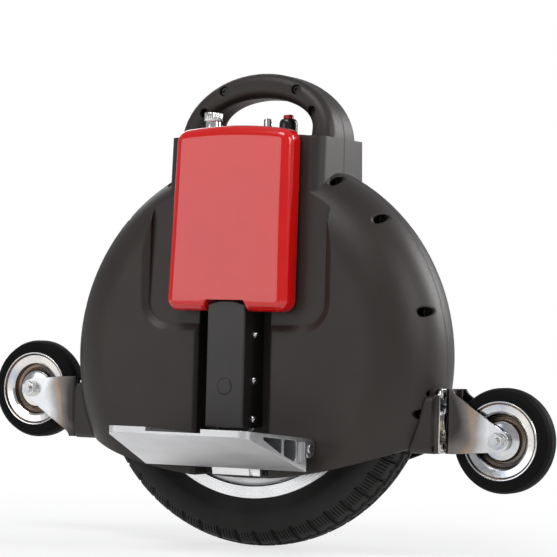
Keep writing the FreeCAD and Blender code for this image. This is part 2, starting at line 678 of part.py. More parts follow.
def tyre():
    """Tyre with a rounded crown, sidewalls that meet the rim's lips and a grooved tread."""
    centre_r = TYRE_R - TYRE_SECTION_R
    points = []
    steps = 14
    for i in range(steps + 1):
        turn = math.pi * (i / steps) * 1.28 - math.pi * 0.14
        points.append((TYRE_HALF_W * math.cos(turn), centre_r + TYRE_SECTION_R * math.sin(turn)))
    bead_y = RIM_HALF_W - RIM_T
    bead_r = RIM_WELL_R + RIM_T + 2.0
    over_lip = RIM_LIP_R + GAP
    points += [(-RIM_HALF_W, over_lip), (-bead_y, over_lip), (-bead_y, bead_r), (-bead_y / 2, bead_r),
               (-bead_y / 2, RIM_LIP_R), (bead_y / 2, RIM_LIP_R), (bead_y / 2, bead_r), (bead_y, bead_r),
               (bead_y, over_lip), (RIM_HALF_W, over_lip)]
    centre = V(0, 0, WHEEL_Z)
    body = spun(points, centre)
    groove = spun([(-GROOVE_W / 2, TYRE_R - GROOVE_D), (GROOVE_W / 2, TYRE_R - GROOVE_D),
                   (GROOVE_W / 2, TYRE_R + 1), (-GROOVE_W / 2, TYRE_R + 1)], centre)
    return body.cut(groove)


def rim():
    """Rim: two bead lips, bead seats and a well that sits on the magnet ring."""
    half = RIM_HALF_W
    seat = RIM_WELL_R + RIM_T
    points = [(-half, seat - RIM_T), (-half, RIM_LIP_R), (-half + RIM_T, RIM_LIP_R), (-half + RIM_T, seat + 2.0),
              (-half / 2, seat + 2.0), (-half / 3, seat), (half / 3, seat), (half / 2, seat + 2.0),
              (half - RIM_T, seat + 2.0), (half - RIM_T, RIM_LIP_R), (half, RIM_LIP_R), (half, seat - RIM_T),
              (half - RIM_T, MOTOR_R), (-half + RIM_T, MOTOR_R)]
    return spun(points, V(0, 0, WHEEL_Z))


def magnet_ring():
    inner = MOTOR_R - MAGNET_T
    half = RIM_HALF_W - RIM_T
    return spun([(-half, inner), (-half, MOTOR_R), (half, MOTOR_R), (half, inner)], V(0, 0, WHEEL_Z))


def near_motor_cover():
    """Dished end cover of the hub motor with two raised rings and a bearing housing."""
    half = RIM_HALF_W - RIM_T
    dish = half + COVER_T
    bore = BEARING_R
    points = [(-half, MOTOR_R), (-dish, MOTOR_R + RIM_T - 1), (-dish, MOTOR_R * 0.86),
              (-dish - 2, MOTOR_R * 0.84), (-dish - 2, MOTOR_R * 0.62), (-dish, MOTOR_R * 0.60),
              (-dish, MOTOR_R * 0.34), (-dish - 3, MOTOR_R * 0.32), (-dish - 3, bore),
              (-dish + BEARING_W - 3, bore), (-dish + BEARING_W - 3, bore + COVER_T),
              (-half, bore + 2 * COVER_T)]
    return spun(points, V(0, 0, WHEEL_Z))


def near_bearing():
    start = -(RIM_HALF_W - RIM_T + COVER_T + 3)
    return tube(BEARING_R, AXLE_R + RUNNING, V(0, start, WHEEL_Z), V(0, start + BEARING_W, WHEEL_Z))


def stator():
    """Laminated stator on a spider, fixed to the axle, with its winding slots."""
    outer = MOTOR_R - MAGNET_T - AIR_GAP
    half = STATOR_W / 2
    ring = tube(outer, outer - 20, V(0, -half, WHEEL_Z), V(0, half, WHEEL_Z))
    slots = 18
    for i in range(slots):
        turn = 2 * math.pi * i / slots
        reach = outer - 8
        centre = V(reach * math.sin(turn), 0, WHEEL_Z + reach * math.cos(turn))
        ring = ring.cut(rod(4, centre - Y_AXIS * half, centre + Y_AXIS * half))
    hub = tube(26, AXLE_R, V(0, -half, WHEEL_Z), V(0, half, WHEEL_Z))
    spider = tube(outer - 19, 25, V(0, -3, WHEEL_Z), V(0, 3, WHEEL_Z))
    return ring.fuse(spider).fuse(hub)


def axle():
    end = BAR_FRONT_Y + 11
    return rod(AXLE_R, V(0, -end, WHEEL_Z), V(0, end, WHEEL_Z))


def axle_nuts():
    nuts = []
    for side in (-1, 1):
        start = V(0, side * BAR_FRONT_Y, WHEEL_Z)
        end = V(0, side * (BAR_FRONT_Y + 8), WHEEL_Z)
        nuts.append(hex_nut(3 * AXLE_R, start, end).cut(rod(AXLE_R, start, end)))
    return Part.makeCompound(nuts)


def cover_screws():
    """Small screws around both motor covers."""
    screws = []
    reach = MOTOR_R - MAGNET_T / 2
    seat = RIM_HALF_W - RIM_T + COVER_T
    for side in (-1, 1):
        for i in range(12):
            turn = 2 * math.pi * (i + 0.5) / 12
            centre = V(reach * math.sin(turn), side * seat, WHEEL_Z + reach * math.cos(turn))
            screws.append(rod(2.6, centre, centre + Y_AXIS * side * 1.4))
    return Part.makeCompound(screws)


def valve_stem():
    """Valve stem that leaves the rim's well beside the motor, at the top of the wheel."""
    start = V(0, 0, WHEEL_Z + RIM_WELL_R + RIM_T)
    return rod(3, start, start + Z_AXIS * 5)


# ---------------------------------------------------------------- inner parts

def near_battery():
    """Two battery blocks beside the wheel, one each side of the arm slot."""
    y1 = -(DISC_HALF_W - WALL)
    x0 = SLOT_HALF_L + 2 * WALL + RECESS_FLARE / 2
    z1 = RECESS_Z - WALL - RECESS_FLARE - GAP
    block = box(x0, x0 + BATTERY_L, y1, y1 + BATTERY_T, z1 - BATTERY_H, z1)
    return Part.makeCompound([block, block.mirror(ORIGIN, X_AXIS)])


def controller_board():
    board = box(-BOARD_L / 2, BOARD_L / 2, -BOARD_W / 2, BOARD_W / 2, BOARD_Z, BOARD_Z + BOARD_T)
    sink = box(-BOARD_L / 4, BOARD_L / 4, -BOARD_W / 4, BOARD_W / 4, BOARD_Z + BOARD_T, BOARD_Z + 8)
    return board.fuse(sink)


# ---------------------------------------------------------------- deck

def deck_panel():
    """Black panel on the deck under the handle, with the switch and lamp holes."""
    z0 = HEAD_TOP_Z
    panel = box(-PANEL_HALF_L, PANEL_HALF_L, -PANEL_HALF_W, PANEL_HALF_W, z0, z0 + PANEL_T)
    panel = rounded(panel, 8, along(Z_AXIS))
    holes = ((BUTTON_X, BUTTON_R - WALL / 2), (LED_X, LED_R - 1))
    for x, r in holes:
        panel = panel.cut(rod(r, V(x, 0, z0), V(x, 0, z0 + PANEL_T)))
    return panel


def button_bezel():
    """Domed bezel of the power button, with the switch body under the deck."""
    base = HEAD_TOP_Z + PANEL_T
    bore = BUTTON_CAP_R + RUNNING
    top = BUTTON_TOP_Z - base
    points = [(0, bore), (0, BUTTON_R), (top * 0.5, BUTTON_R), (top * 0.85, BUTTON_R - 1.2), (top, bore + 1),
              (top, bore)]
    corners = [V(BUTTON_X + r, 0, base + a) for a, r in points]
    dome = Part.Face(Part.makePolygon(corners + corners[:1])).revolve(V(BUTTON_X, 0, base), Z_AXIS, 360)
    body_r = BUTTON_R - WALL / 2
    body = tube(body_r, bore, V(BUTTON_X, 0, HEAD_TOP_Z - 3 * WALL), V(BUTTON_X, 0, base))
    floor = rod(body_r, V(BUTTON_X, 0, HEAD_TOP_Z - 4 * WALL), V(BUTTON_X, 0, HEAD_TOP_Z - 3 * WALL))
    return dome.fuse(body).fuse(floor)


def button_cap():
    top = BUTTON_TOP_Z + BUTTON_TRAVEL + 1
    low = HEAD_TOP_Z - 3 * WALL + BUTTON_TRAVEL + GAP
    cap = rod(BUTTON_CAP_R, V(BUTTON_X, 0, low), V(BUTTON_X, 0, top))
    return rounded(cap, 2, lambda edge: edge.BoundBox.ZMin > top - 0.1)


def led_bezel():
    base = HEAD_TOP_Z + PANEL_T
    ring = tube(LED_R, LED_R - 1.6, V(LED_X, 0, base), V(LED_X, 0, base + LED_H))
    stem = tube(LED_R - 1, LED_R - 1.6, V(LED_X, 0, HEAD_TOP_Z - WALL), V(LED_X, 0, base + BURY))
    return ring.fuse(stem)


def led_lens():
    base = HEAD_TOP_Z - WALL
    lens = rod(LED_R - 1.6, V(LED_X, 0, base), V(LED_X, 0, HEAD_TOP_Z + PANEL_T + LED_H + 1))
    return rounded(lens, 1.5, lambda edge: edge.BoundBox.ZMin > HEAD_TOP_Z + LED_H)


def charge_socket():
    """Round charging socket with its fixing nut on the head's shoulder."""
    base = V(SOCKET_X, -SOCKET_Y, HEAD_TOP_Z)
    nut = hex_nut(2 * CHARGE_CAP_R - 2, base, base + Z_AXIS * WALL)
    body = rod(SOCKET_R, base - Z_AXIS * 3 * WALL, base + Z_AXIS * SOCKET_H)
    return nut.fuse(body).cut(rod(SOCKET_R - 1.5, base + Z_AXIS * WALL, base + Z_AXIS * SOCKET_H))


def charge_cap():
    """Knurled screw cap over the charging socket."""
    bore = SOCKET_R + RUNNING
    low = HEAD_TOP_Z + WALL + GAP
    top = CHARGE_CAP_TOP_Z
    head = top - 10
    centre = V(SOCKET_X, -SOCKET_Y, 0)
    neck = rod(bore + 1.3, centre + Z_AXIS * low, centre + Z_AXIS * (head + BURY))
    crown = rod(CHARGE_CAP_R, centre + Z_AXIS * head, centre + Z_AXIS * top)
    flutes = 16
    for i in range(flutes):
        turn = 2 * math.pi * i / flutes
        side = V(CHARGE_CAP_R * math.cos(turn), CHARGE_CAP_R * math.sin(turn), 0)
        crown = crown.cut(rod(0.8, centre + side + Z_AXIS * (head + 1), centre + side + Z_AXIS * (top - 2)))
    cap = neck.fuse(crown)
    return cap.cut(rod(bore, centre + Z_AXIS * low, centre + Z_AXIS * (HEAD_TOP_Z + SOCKET_H + GAP)))


# ---------------------------------------------------------------- casters

def front_saddle():
    """Moulded block between the shell's edge and the caster's fixing plate."""
    half = PLATE_HALF - SADDLE_MARGIN
    face = PLATE_X - PLATE_T
    block = box(face - 2 * PLATE_HALF, face, -half, half, CASTER_Z - half, CASTER_Z + half - 3 * SADDLE_MARGIN)
    block = rounded(block, 8, along(X_AXIS)).cut(disc_form(0))
    for y, z in plate_bolt_places():
        block = block.cut(rod(PLATE_BOLT_R, V(face - PLATE_BOLT_L, y, z), V(face, y, z)))
    return block


def plate_bolt_places():
    return [(y, CASTER_Z + z) for y in (-PLATE_BOLT, PLATE_BOLT) for z in (-PLATE_BOLT, PLATE_BOLT)]


def front_caster_plate():
    """Fixing plate with the raised raceway and the kingpin that the fork turns on."""
    half = PLATE_HALF
    plate = box(PLATE_X - PLATE_T, PLATE_X, -half, half, CASTER_Z - half, CASTER_Z + half)
    plate = rounded(plate, 8, along(X_AXIS))
    for y, z in plate_bolt_places():
        plate = plate.cut(rod(PLATE_BOLT_R, V(PLATE_X - PLATE_T, y, z), V(PLATE_X, y, z)))
    top = RACEWAY_T
    race = spun([(0, 0), (0, RACEWAY_R - 4), (top * 0.6, RACEWAY_R), (top, RACEWAY_R), (top, 0)],
                V(PLATE_X, 0, CASTER_Z), X_AXIS)
    for y, z in plate_bolt_places():
        race = race.cut(rod(PLATE_BOLT_R + 2.6, V(PLATE_X, y, z), V(PLATE_X + 2 * top, y, z)))
    base = PLATE_X + top
    under_head = base + CROWN_T + 2 * GAP
    pin = rod(KINGPIN_R, V(base - BURY, 0, CASTER_Z), V(under_head, 0, CASTER_Z))
    rivet = rod(KINGPIN_R + 1.2, V(under_head, 0, CASTER_Z), V(under_head + 1, 0, CASTER_Z))
    return plate.fuse(race).fuse(pin).fuse(rivet)


def front_plate_bolts():
    bolts = []
    for y, z in plate_bolt_places():
        shank = rod(PLATE_BOLT_R, V(PLATE_X - PLATE_BOLT_L, y, z), V(PLATE_X, y, z))
        head = hex_nut(3 * PLATE_BOLT_R, V(PLATE_X, y, z), V(PLATE_X + 2.6, y, z))
        bolts.append(shank.fuse(head))
    return Part.makeCompound(bolts)


def front_fork():
    """Pressed fork: a round crown and two tapering cheeks with a pressed dimple each."""
    base = PLATE_X + RACEWAY_T + GAP
    crown = spun([(0, KINGPIN_R + RUNNING), (0, CROWN_R), (CROWN_T * 0.6, CROWN_R), (CROWN_T, CROWN_R - 2),
                  (CROWN_T, KINGPIN_R + RUNNING)], V(base, 0, CASTER_Z), X_AXIS)
    inner = CASTER_HUB_HALF_W + GAP
    axle_z = CASTER_Z - CASTER_TRAIL
    nose = 10.0
    fork = crown
    for side in (-1, 1):
        reach = math.sqrt(CROWN_R ** 2 - (inner + CHEEK_T) ** 2)
        root = [V(base + BURY, 0, CASTER_Z - reach), V(base + BURY, 0, CASTER_Z + reach),
                V(CASTER_REACH, 0, axle_z + nose), V(CASTER_REACH, 0, axle_z - nose)]
        cheek = Part.Face(Part.makePolygon(root + root[:1])).extrude(Y_AXIS * CHEEK_T)
        cheek = cheek.fuse(rod(nose, V(CASTER_REACH, 0, axle_z), V(CASTER_REACH, CHEEK_T, axle_z)))
        dimple = Part.makeSphere(16, V((base + CASTER_REACH) / 2, CHEEK_T + 14.8, (CASTER_Z + axle_z) / 2))
        cheek = cheek.cut(dimple).cut(rod(CASTER_AXLE_R, V(CASTER_REACH, 0, axle_z), V(CASTER_REACH, CHEEK_T, axle_z)))
        cheek.translate(Y_AXIS * inner)
        fork = fork.fuse(cheek if side > 0 else mirror_y(cheek))
    return fork


def front_caster_bolt():
    """Axle bolt with its head, washers and nut."""
    z = CASTER_Z - CASTER_TRAIL
    outer = CASTER_HUB_HALF_W + GAP + CHEEK_T
    x = CASTER_REACH
    bolt = rod(CASTER_AXLE_R, V(x, -outer - 10, z), V(x, outer, z))
    head = hex_nut(13.0, V(x, outer + 1.2, z), V(x, outer + 6, z))
    nut = hex_nut(13.0, V(x, -outer - 7, z), V(x, -outer - 1.2, z))
    washers = [rod(8, V(x, side * outer, z), V(x, side * (outer + 1.2), z)) for side in (-1, 1)]
    return bolt.fuse(head).fuse(nut).fuse(washers[0]).fuse(washers[1])


def front_caster_hub():
    """Stepped wheel centre: bright ring, sunk web and inner boss, around a bush."""
    half = CASTER_TREAD_HALF_W
    hub = CASTER_HUB_HALF_W
    r = CASTER_R
    rim_r = CASTER_TREAD_R
    bore = CASTER_AXLE_R + RUNNING
    near = [(-hub, bore), (-hub, r * 0.17), (-half + 1, r * 0.2), (-half + 1, r * 0.35), (-half / 2, r * 0.37),
            (-half / 2, r * 0.49), (-half + 2, r * 0.51), (-half + 2, r * 0.62), (-half, r * 0.64), (-half, rim_r)]
    far = [(-a, b) for a, b in reversed(near)]
    return spun(near + far, V(CASTER_REACH, 0, CASTER_Z - CASTER_TRAIL))


def front_caster_tyre():
    half = CASTER_TREAD_HALF_W
    r = CASTER_R
    points = [(-half, CASTER_TREAD_R), (-half, r - 6), (-half * 0.82, r - 2), (-half * 0.4, r),
              (half * 0.4, r), (half * 0.82, r - 2), (half, r - 6), (half, CASTER_TREAD_R)]
    return spun(points, V(CASTER_REACH, 0, CASTER_Z - CASTER_TRAIL))


def to_rear(shape, swivelled):
    """Copy a front caster piece to the rear end; the swivelled ones point the other way up."""
    copy = shape.copy()
    copy.rotate(V(0, 0, CASTER_Z), Z_AXIS, 180)
    if swivelled:
        copy.rotate(V(0, 0, CASTER_Z), X_AXIS, 180)
    return copy


# ---------------------------------------------------------------- all nodes

def pair(nodes, name, near):
    """Add a near piece and its far mirror image."""
    nodes["near_" + name] = near
    nodes["far_" + name] = mirror_y(near)


def build():
    nodes = {}
    near, far = shell_halves()
    nodes["near_shell"] = near
    nodes["far_shell"] = far
    nodes["shell_screws"] = shell_screws()
    pair(nodes, "leg_pad", near_pad())
    pair(nodes, "pad_backing", near_pad_backing())
    pair(nodes, "hanger_arm", screw_holes(near_hanger_arm(), ARM_WALL + BURY))
    pair(nodes, "arm_cover", screw_holes(near_arm_cover(), ARM_WALL + BURY))
    pair(nodes, "arm_plug", near_arm_plug())
    pair(nodes, "arm_screws", near_arm_screws())
    pair(nodes, "pedal", near_pedal())
    pair(nodes, "pedal_grip", near_pedal_grip())
    pair(nodes, "pedal_pin", near_pedal_pin())
    pair(nodes, "motor_cover", near_motor_cover())
    pair(nodes, "bearing", near_bearing())
    pair(nodes, "battery_pack", near_battery())
    nodes["tyre"] = tyre()
    nodes["rim"] = rim()
    nodes["magnet_ring"] = magnet_ring()
    nodes["stator"] = stator()
    nodes["axle"] = axle()
    nodes["axle_nuts"] = axle_nuts()
    nodes["motor_cover_screws"] = cover_screws()
    nodes["valve_stem"] = valve_stem()
    nodes["controller_board"] = controller_board()
    nodes["deck_panel"] = deck_panel()
    nodes["button_bezel"] = button_bezel()
    nodes["button_cap"] = button_cap()
    nodes["led_bezel"] = led_bezel()
    nodes["led_lens"] = led_lens()
    nodes["charge_socket"] = charge_socket()
    nodes["charge_cap"] = charge_cap()
    casters = {"caster_saddle": (front_saddle(), False), "caster_plate": (front_caster_plate(), False),
               "caster_plate_bolts": (front_plate_bolts(), False), "caster_fork": (front_fork(), True),
               "caster_axle_bolt": (front_caster_bolt(), True), "caster_hub": (front_caster_hub(), True),
               "caster_tyre": (front_caster_tyre(), True)}
    for name, (shape, swivelled) in casters.items():
        nodes["front_" + name] = shape
        nodes["rear_" + name] = to_rear(shape, swivelled)
    return nodes


def main():
    os.makedirs("parts", exist_ok=True)
    for name, shape in build().items():
        shape.exportStep("parts/" + name + ".step")


main()
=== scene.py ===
"""Electric unicycle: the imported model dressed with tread, leg pads, caster metalwork and finishes."""
import json
import math

import bmesh
import bpy
from mathutils import Matrix, Vector


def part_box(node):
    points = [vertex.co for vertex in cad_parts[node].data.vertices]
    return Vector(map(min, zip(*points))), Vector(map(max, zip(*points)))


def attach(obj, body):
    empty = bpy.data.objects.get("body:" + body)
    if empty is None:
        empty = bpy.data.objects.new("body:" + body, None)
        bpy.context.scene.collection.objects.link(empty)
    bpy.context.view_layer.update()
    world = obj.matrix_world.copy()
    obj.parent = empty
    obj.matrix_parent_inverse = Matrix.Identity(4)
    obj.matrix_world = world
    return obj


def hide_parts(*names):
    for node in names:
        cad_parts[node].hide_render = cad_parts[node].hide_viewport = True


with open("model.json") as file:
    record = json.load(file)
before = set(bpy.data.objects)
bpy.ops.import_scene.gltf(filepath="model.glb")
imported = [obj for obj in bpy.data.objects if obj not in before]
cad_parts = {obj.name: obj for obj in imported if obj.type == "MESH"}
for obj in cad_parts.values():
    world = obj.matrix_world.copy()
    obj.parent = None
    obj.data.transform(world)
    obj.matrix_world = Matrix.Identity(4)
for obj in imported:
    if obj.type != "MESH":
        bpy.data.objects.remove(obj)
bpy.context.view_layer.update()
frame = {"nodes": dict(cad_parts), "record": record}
MM = 0.001

# ---- sizes taken from the frame ----
TYRE_LO, TYRE_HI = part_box("tyre")
WHEEL_Z = (TYRE_LO.z + TYRE_HI.z) / 2
TYRE_R = (TYRE_HI.z - TYRE_LO.z) / 2
TYRE_HALF_W = (TYRE_HI.y - TYRE_LO.y) / 2
RIM_LO, RIM_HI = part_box("rim")
RIM_R = (RIM_HI.z - RIM_LO.z) / 2
RIM_HALF_W = (RIM_HI.y - RIM_LO.y) / 2
ARM_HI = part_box("near_arm_cover")[1]
PLATE_LO, PLATE_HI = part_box("front_caster_plate")
CASTER_Z = (PLATE_LO.z + PLATE_HI.z) / 2

# ---- tyre ----
SECTION_R = 24.0 * MM       # half-height of the tyre section
BLOCKS = 52                 # tread blocks around the tyre
STEPS_PER_BLOCK = 24
STEPS_ACROSS = 66
SECTION_TURN = 114          # degrees that the section runs down each side from its crown
GROOVE_W = 3.0 * MM
CENTRE_ZIG = 2.4 * MM       # sideways swing of the centre groove
SIDE_GROOVE_Y = 9.5 * MM
SIDE_ZIG = 1.6 * MM
TREAD_DEPTH = 3.4 * MM
SIPE_DEPTH = 1.6 * MM
SIPES = 5                   # thin cuts in each shoulder block
LATERAL_SHARE = 0.16        # share of a block's length taken by the groove between shoulder blocks
TREAD_REACH = 0.93          # how far the tread goes towards the widest part of the section
BEAD_IN = 3.0 * MM
BEAD_UP = 1.0 * MM
BEAD_DOWN = 6.0 * MM

# ---- leg pad ----
BACK_TOP = 49.9 * MM        # distance of the pad's back from the middle plane, at its top edge
BACK_BOTTOM = 58.4 * MM
PAD_LOW = 222.0 * MM
PAD_TOP_HALF = 61.5 * MM
PAD_BOTTOM_HALF = 64.5 * MM
PAD_FRONT_TOP = 71.0 * MM
PAD_FRONT_BOTTOM = 78.0 * MM
PAD_CROWN = 1.2 * MM
PAD_TOP_BOW = 5.0 * MM      # rise of the top edge between its corners
PAD_ROUND = 9.0 * MM        # rounding of the front face's rim
PAD_CORNER = 11.0 * MM      # corner radius seen from the front
NOTCH_GAP = 0.6 * MM

# ---- charging cap ----
TIP_R = 0.2 * MM            # radius of the tiny face that closes a turned form on its axis
CAP_CROWN_H = 8.5 * MM
CAP_STEP = 1.4 * MM
CAP_BORE_R = 6.6 * MM
CAP_TEETH = 30
KNURL_DEPTH = 0.45 * MM

# ---- power button ----
DOME_R = 8.8 * MM
DOME_H = 17.0 * MM
DOME_CURVE = 6.0 * MM       # height of the rounded top above its upright collar
DOME_NECK_STEP = 2.2 * MM   # how much slimmer the bezel is below the deck
DOME_LIP = 0.8 * MM
BUTTON_GAP = 0.1 * MM
BUTTON_PROUD = 4.0 * MM

# ---- caster forks ----
EAR_H = 29.5 * MM           # half-height of the fork's crown and of the fixing plate
EAR_L = 2.0 * MM
SHOULDER_L = 3.0 * MM       # the bend from the ear into the slanted edge
SHOULDER_H = 5.0 * MM
BEND_R = 4.0 * MM
CHEEK_T = 2.5 * MM
CHEEK_GAP = 0.4 * MM        # between a cheek and the wheel centre
NOSE_R = 10.0 * MM
NOSE_LEAN = math.asin(0.62)  # where the slanted edge meets the nose, measured from upright

# ---- caster plates ----
PLATE_HALF_W = 17.0 * MM
PLATE_CORNER = 6.0 * MM
PLATE_T = 2.5 * MM
PLATE_EDGE = 0.5 * MM
RACE_H = 4.0 * MM
KINGPIN_R = 6.0 * MM
PLATE_BOLT_Y = 11.0 * MM
PLATE_BOLT_Z = 23.5 * MM
PLATE_BOLT_R = 4.2 * MM
PLATE_BOLT_H = 2.4 * MM

# ---- caster wheel centre, in mm: (depth below its face, radius) from the bore to the rolled edge ----
HUB_SECTION = ((0.0, 4.1), (0.0, 8.0), (5.5, 8.6), (5.0, 9.2), (5.4, 15.5), (6.2, 17.5), (10.0, 19.0),
               (11.0, 21.5), (10.0, 24.0), (5.2, 25.2), (3.8, 27.0), (3.0, 33.0), (3.6, 34.2), (1.6, 34.8),
               (1.4, 35.8))
HUB_EDGE_DEPTH = 2.0
HUB_PAINTED_SHADE_BANDS = ((17.6, 24.6), (33.2, 34.6))    # radii of its recessed bands, coloured with painted shade


# ---------------------------------------------------------------- materials

def new_material(name):
    """Empty node material with a Principled shader."""
    material = bpy.data.materials.new(name)
    material.use_nodes = True
    nodes = material.node_tree.nodes
    nodes.clear()
    shader = nodes.new("ShaderNodeBsdfPrincipled")
    out = nodes.new("ShaderNodeOutputMaterial")
    material.node_tree.links.new(shader.outputs["BSDF"], out.inputs["Surface"])
    return material, nodes, material.node_tree.links, shader


def noise(nodes, links, place, scale, detail=4.0):
    tex = nodes.new("ShaderNodeTexNoise")
    tex.inputs["Scale"].default_value = scale
    tex.inputs["Detail"].default_value = detail
    links.new(place, tex.inputs["Vector"])
    return tex.outputs["Fac"]


def spread(nodes, links, fac, low, high, start=0.3, end=0.7):
    """Map a noise value to a range."""
    node = nodes.new("ShaderNodeMapRange")
    node.inputs["From Min"].default_value = start
    node.inputs["From Max"].default_value = end
    node.inputs["To Min"].default_value = low
    node.inputs["To Max"].default_value = high
    links.new(fac, node.inputs["Value"])
    return node.outputs["Result"]


def colour_ramp(nodes, links, fac, stops):
    """Colours at places from 0 to 1, in rising order."""
    ramp = nodes.new("ShaderNodeValToRGB")
    elements = ramp.color_ramp.elements
    for spot, colour in stops[1:-1]:
        elements.new(spot).color = (*colour, 1)
    for element, (spot, colour) in ((elements[0], stops[0]), (elements[-1], stops[-1])):
        element.position = spot
        element.color = (*colour, 1)
    links.new(fac, ramp.inputs["Fac"])
    return ramp.outputs["Color"]


def two_tone(nodes, links, fac, dark, light):
    return colour_ramp(nodes, links, fac, ((0.35, dark), (0.65, light)))


def object_place(nodes, links, stretch=(1, 1, 1), shift=(0, 0, 0)):
    coord = nodes.new("ShaderNodeTexCoord")
    mapping = nodes.new("ShaderNodeMapping")
    mapping.inputs["Scale"].default_value = stretch
    mapping.inputs["Location"].default_value = shift
    links.new(coord.outputs["Object"], mapping.inputs["Vector"])
    return mapping.outputs["Vector"]


def add_bump(nodes, links, shader, height, strength, distance, edge_r=0.0):
    """Fine relief on the shader, over edges softened to edge_r."""
    bump = nodes.new("ShaderNodeBump")
    bump.inputs["Strength"].default_value = strength
    bump.inputs["Distance"].default_value = distance
    links.new(height, bump.inputs["Height"])
    if edge_r:
        bevel = nodes.new("ShaderNodeBevel")
        bevel.samples = 4
        bevel.inputs["Radius"].default_value = edge_r
        links.new(bevel.outputs["Normal"], bump.inputs["Normal"])
    links.new(bump.outputs["Normal"], shader.inputs["Normal"])


def plastic(name, dark, light, rough, grain=900.0, bump=0.25, edge_r=0.0012, specular=0.5):
    """Moulded plastic with a fine eroded texture and slightly uneven tone."""
    material, nodes, links, shader = new_material(name)
    place = object_place(nodes, links)
    broad = noise(nodes, links, place, 14.0)
    fine = noise(nodes, links, place, grain, 2.0)
    links.new(two_tone(nodes, links, broad, dark, light), shader.inputs["Base Color"])
    links.new(spread(nodes, links, fine, rough[0], rough[1]), shader.inputs["Roughness"])
    shader.inputs["Specular IOR Level"].default_value = specular
    add_bump(nodes, links, shader, fine, bump, 0.0003, edge_r)
    return material


def metal(name, dark, light, rough, stretch=(1, 1, 1), broad_scale=18.0):
    """Bare or plated metal; the stretch draws the grain out into brushed lines."""
    material, nodes, links, shader = new_material(name)
    place = object_place(nodes, links, stretch)
    fine = noise(nodes, links, place, 260.0, 5.0)
    broad = noise(nodes, links, object_place(nodes, links), broad_scale, 3.0)
    links.new(two_tone(nodes, links, broad, dark, light), shader.inputs["Base Color"])
    links.new(spread(nodes, links, fine, rough[0], rough[1]), shader.inputs["Roughness"])
    shader.inputs["Metallic"].default_value = 1.0
    add_bump(nodes, links, shader, fine, 0.08, 0.0002, 0.0006)
    return material


def painted_reflection_zinc(name, root, tip):
    """Zinc plate with painted reflections: a dull, mottled painted reflection of the black shell near the
    machine, a painted amber glint where that ends, and bright zinc further out. Root and tip are distances
    along X from the middle of the machine."""
    material, nodes, links, shader = new_material(name)
    place = object_place(nodes, links)
    apart = nodes.new("ShaderNodeSeparateXYZ")
    links.new(place, apart.inputs[0])
    reach = nodes.new("ShaderNodeMath")
    reach.operation = "ABSOLUTE"
    links.new(apart.outputs["X"], reach.inputs[0])
    along = nodes.new("ShaderNodeMapRange")
    along.inputs["From Min"].default_value = root
    along.inputs["From Max"].default_value = tip
    links.new(reach.outputs[0], along.inputs["Value"])
    cloud = spread(nodes, links, noise(nodes, links, place, 22.0, 1.5), -0.28, 0.28)
    both = nodes.new("ShaderNodeMath")
    both.use_clamp = True
    links.new(along.outputs["Result"], both.inputs[0])
    links.new(cloud, both.inputs[1])
    # Ramp of painted reflection: painted dark reflection of the shell at the root, a painted amber glint
    # band, then bright zinc.
    stops = ((0.0, (0.05, 0.045, 0.045)), (0.36, (0.20, 0.18, 0.17)), (0.43, (0.34, 0.24, 0.17)),
             (0.54, (0.34, 0.32, 0.31)), (0.80, (0.78, 0.79, 0.82)))
    links.new(colour_ramp(nodes, links, both.outputs[0], stops), shader.inputs["Base Color"])
    fine = noise(nodes, links, place, 260.0, 5.0)
    links.new(spread(nodes, links, fine, 0.16, 0.28), shader.inputs["Roughness"])
    shader.inputs["Metallic"].default_value = 1.0
    add_bump(nodes, links, shader, fine, 0.08, 0.0002, 0.0006)
    return material


def turned_metal(name, dark, light, rough, centre, spacing):
    """Metal turned on a lathe: fine rings about a centre in the X-Z plane."""
    material, nodes, links, shader = new_material(name)
    place = object_place(nodes, links, shift=(-centre[0], 0, -centre[1]))
    rings = nodes.new("ShaderNodeTexWave")
    rings.wave_type = "RINGS"
    rings.rings_direction = "Y"
    rings.inputs["Scale"].default_value = spacing
    rings.inputs["Distortion"].default_value = 0.4
    links.new(place, rings.inputs["Vector"])
    fine = noise(nodes, links, place, 40.0)
    links.new(two_tone(nodes, links, fine, dark, light), shader.inputs["Base Color"])
    gloss = spread(nodes, links, rings.outputs["Fac"], rough[0], rough[1], 0, 1)
    links.new(gloss, shader.inputs["Roughness"])
    shader.inputs["Metallic"].default_value = 1.0
    add_bump(nodes, links, shader, rings.outputs["Fac"], 0.12, 0.0002, 0.0005)
    return material


def rubber(name, dark, light, specular=0.4):
    """Matt rubber with a dusty, uneven tone."""
    material, nodes, links, shader = new_material(name)
    place = object_place(nodes, links)
    dust = noise(nodes, links, place, 35.0, 6.0)
    fine = noise(nodes, links, place, 1500.0, 2.0)
    links.new(two_tone(nodes, links, dust, dark, light), shader.inputs["Base Color"])
    links.new(spread(nodes, links, dust, 0.62, 0.8), shader.inputs["Roughness"])
    shader.inputs["Specular IOR Level"].default_value = specular
    add_bump(nodes, links, shader, fine, 0.15, 0.0002, 0.0008)
    return material


def pad_skin(name):
    """Glossy coated foam skin with a soft orange-peel surface."""
    material, nodes, links, shader = new_material(name)
    place = object_place(nodes, links)
    broad = noise(nodes, links, place, 9.0, 3.0)
    peel = noise(nodes, links, place, 320.0, 2.0)
    links.new(two_tone(nodes, links, broad, (0.58, 0.001, 0.001), (0.64, 0.002, 0.001)),
              shader.inputs["Base Color"])
    links.new(spread(nodes, links, broad, 0.14, 0.20), shader.inputs["Roughness"])
    shader.inputs["Specular IOR Level"].default_value = 0.3
    shader.inputs["Coat Weight"].default_value = 0.8
    shader.inputs["Coat Roughness"].default_value = 0.05
    add_bump(nodes, links, shader, peel, 0.03, 0.0003)
    return material


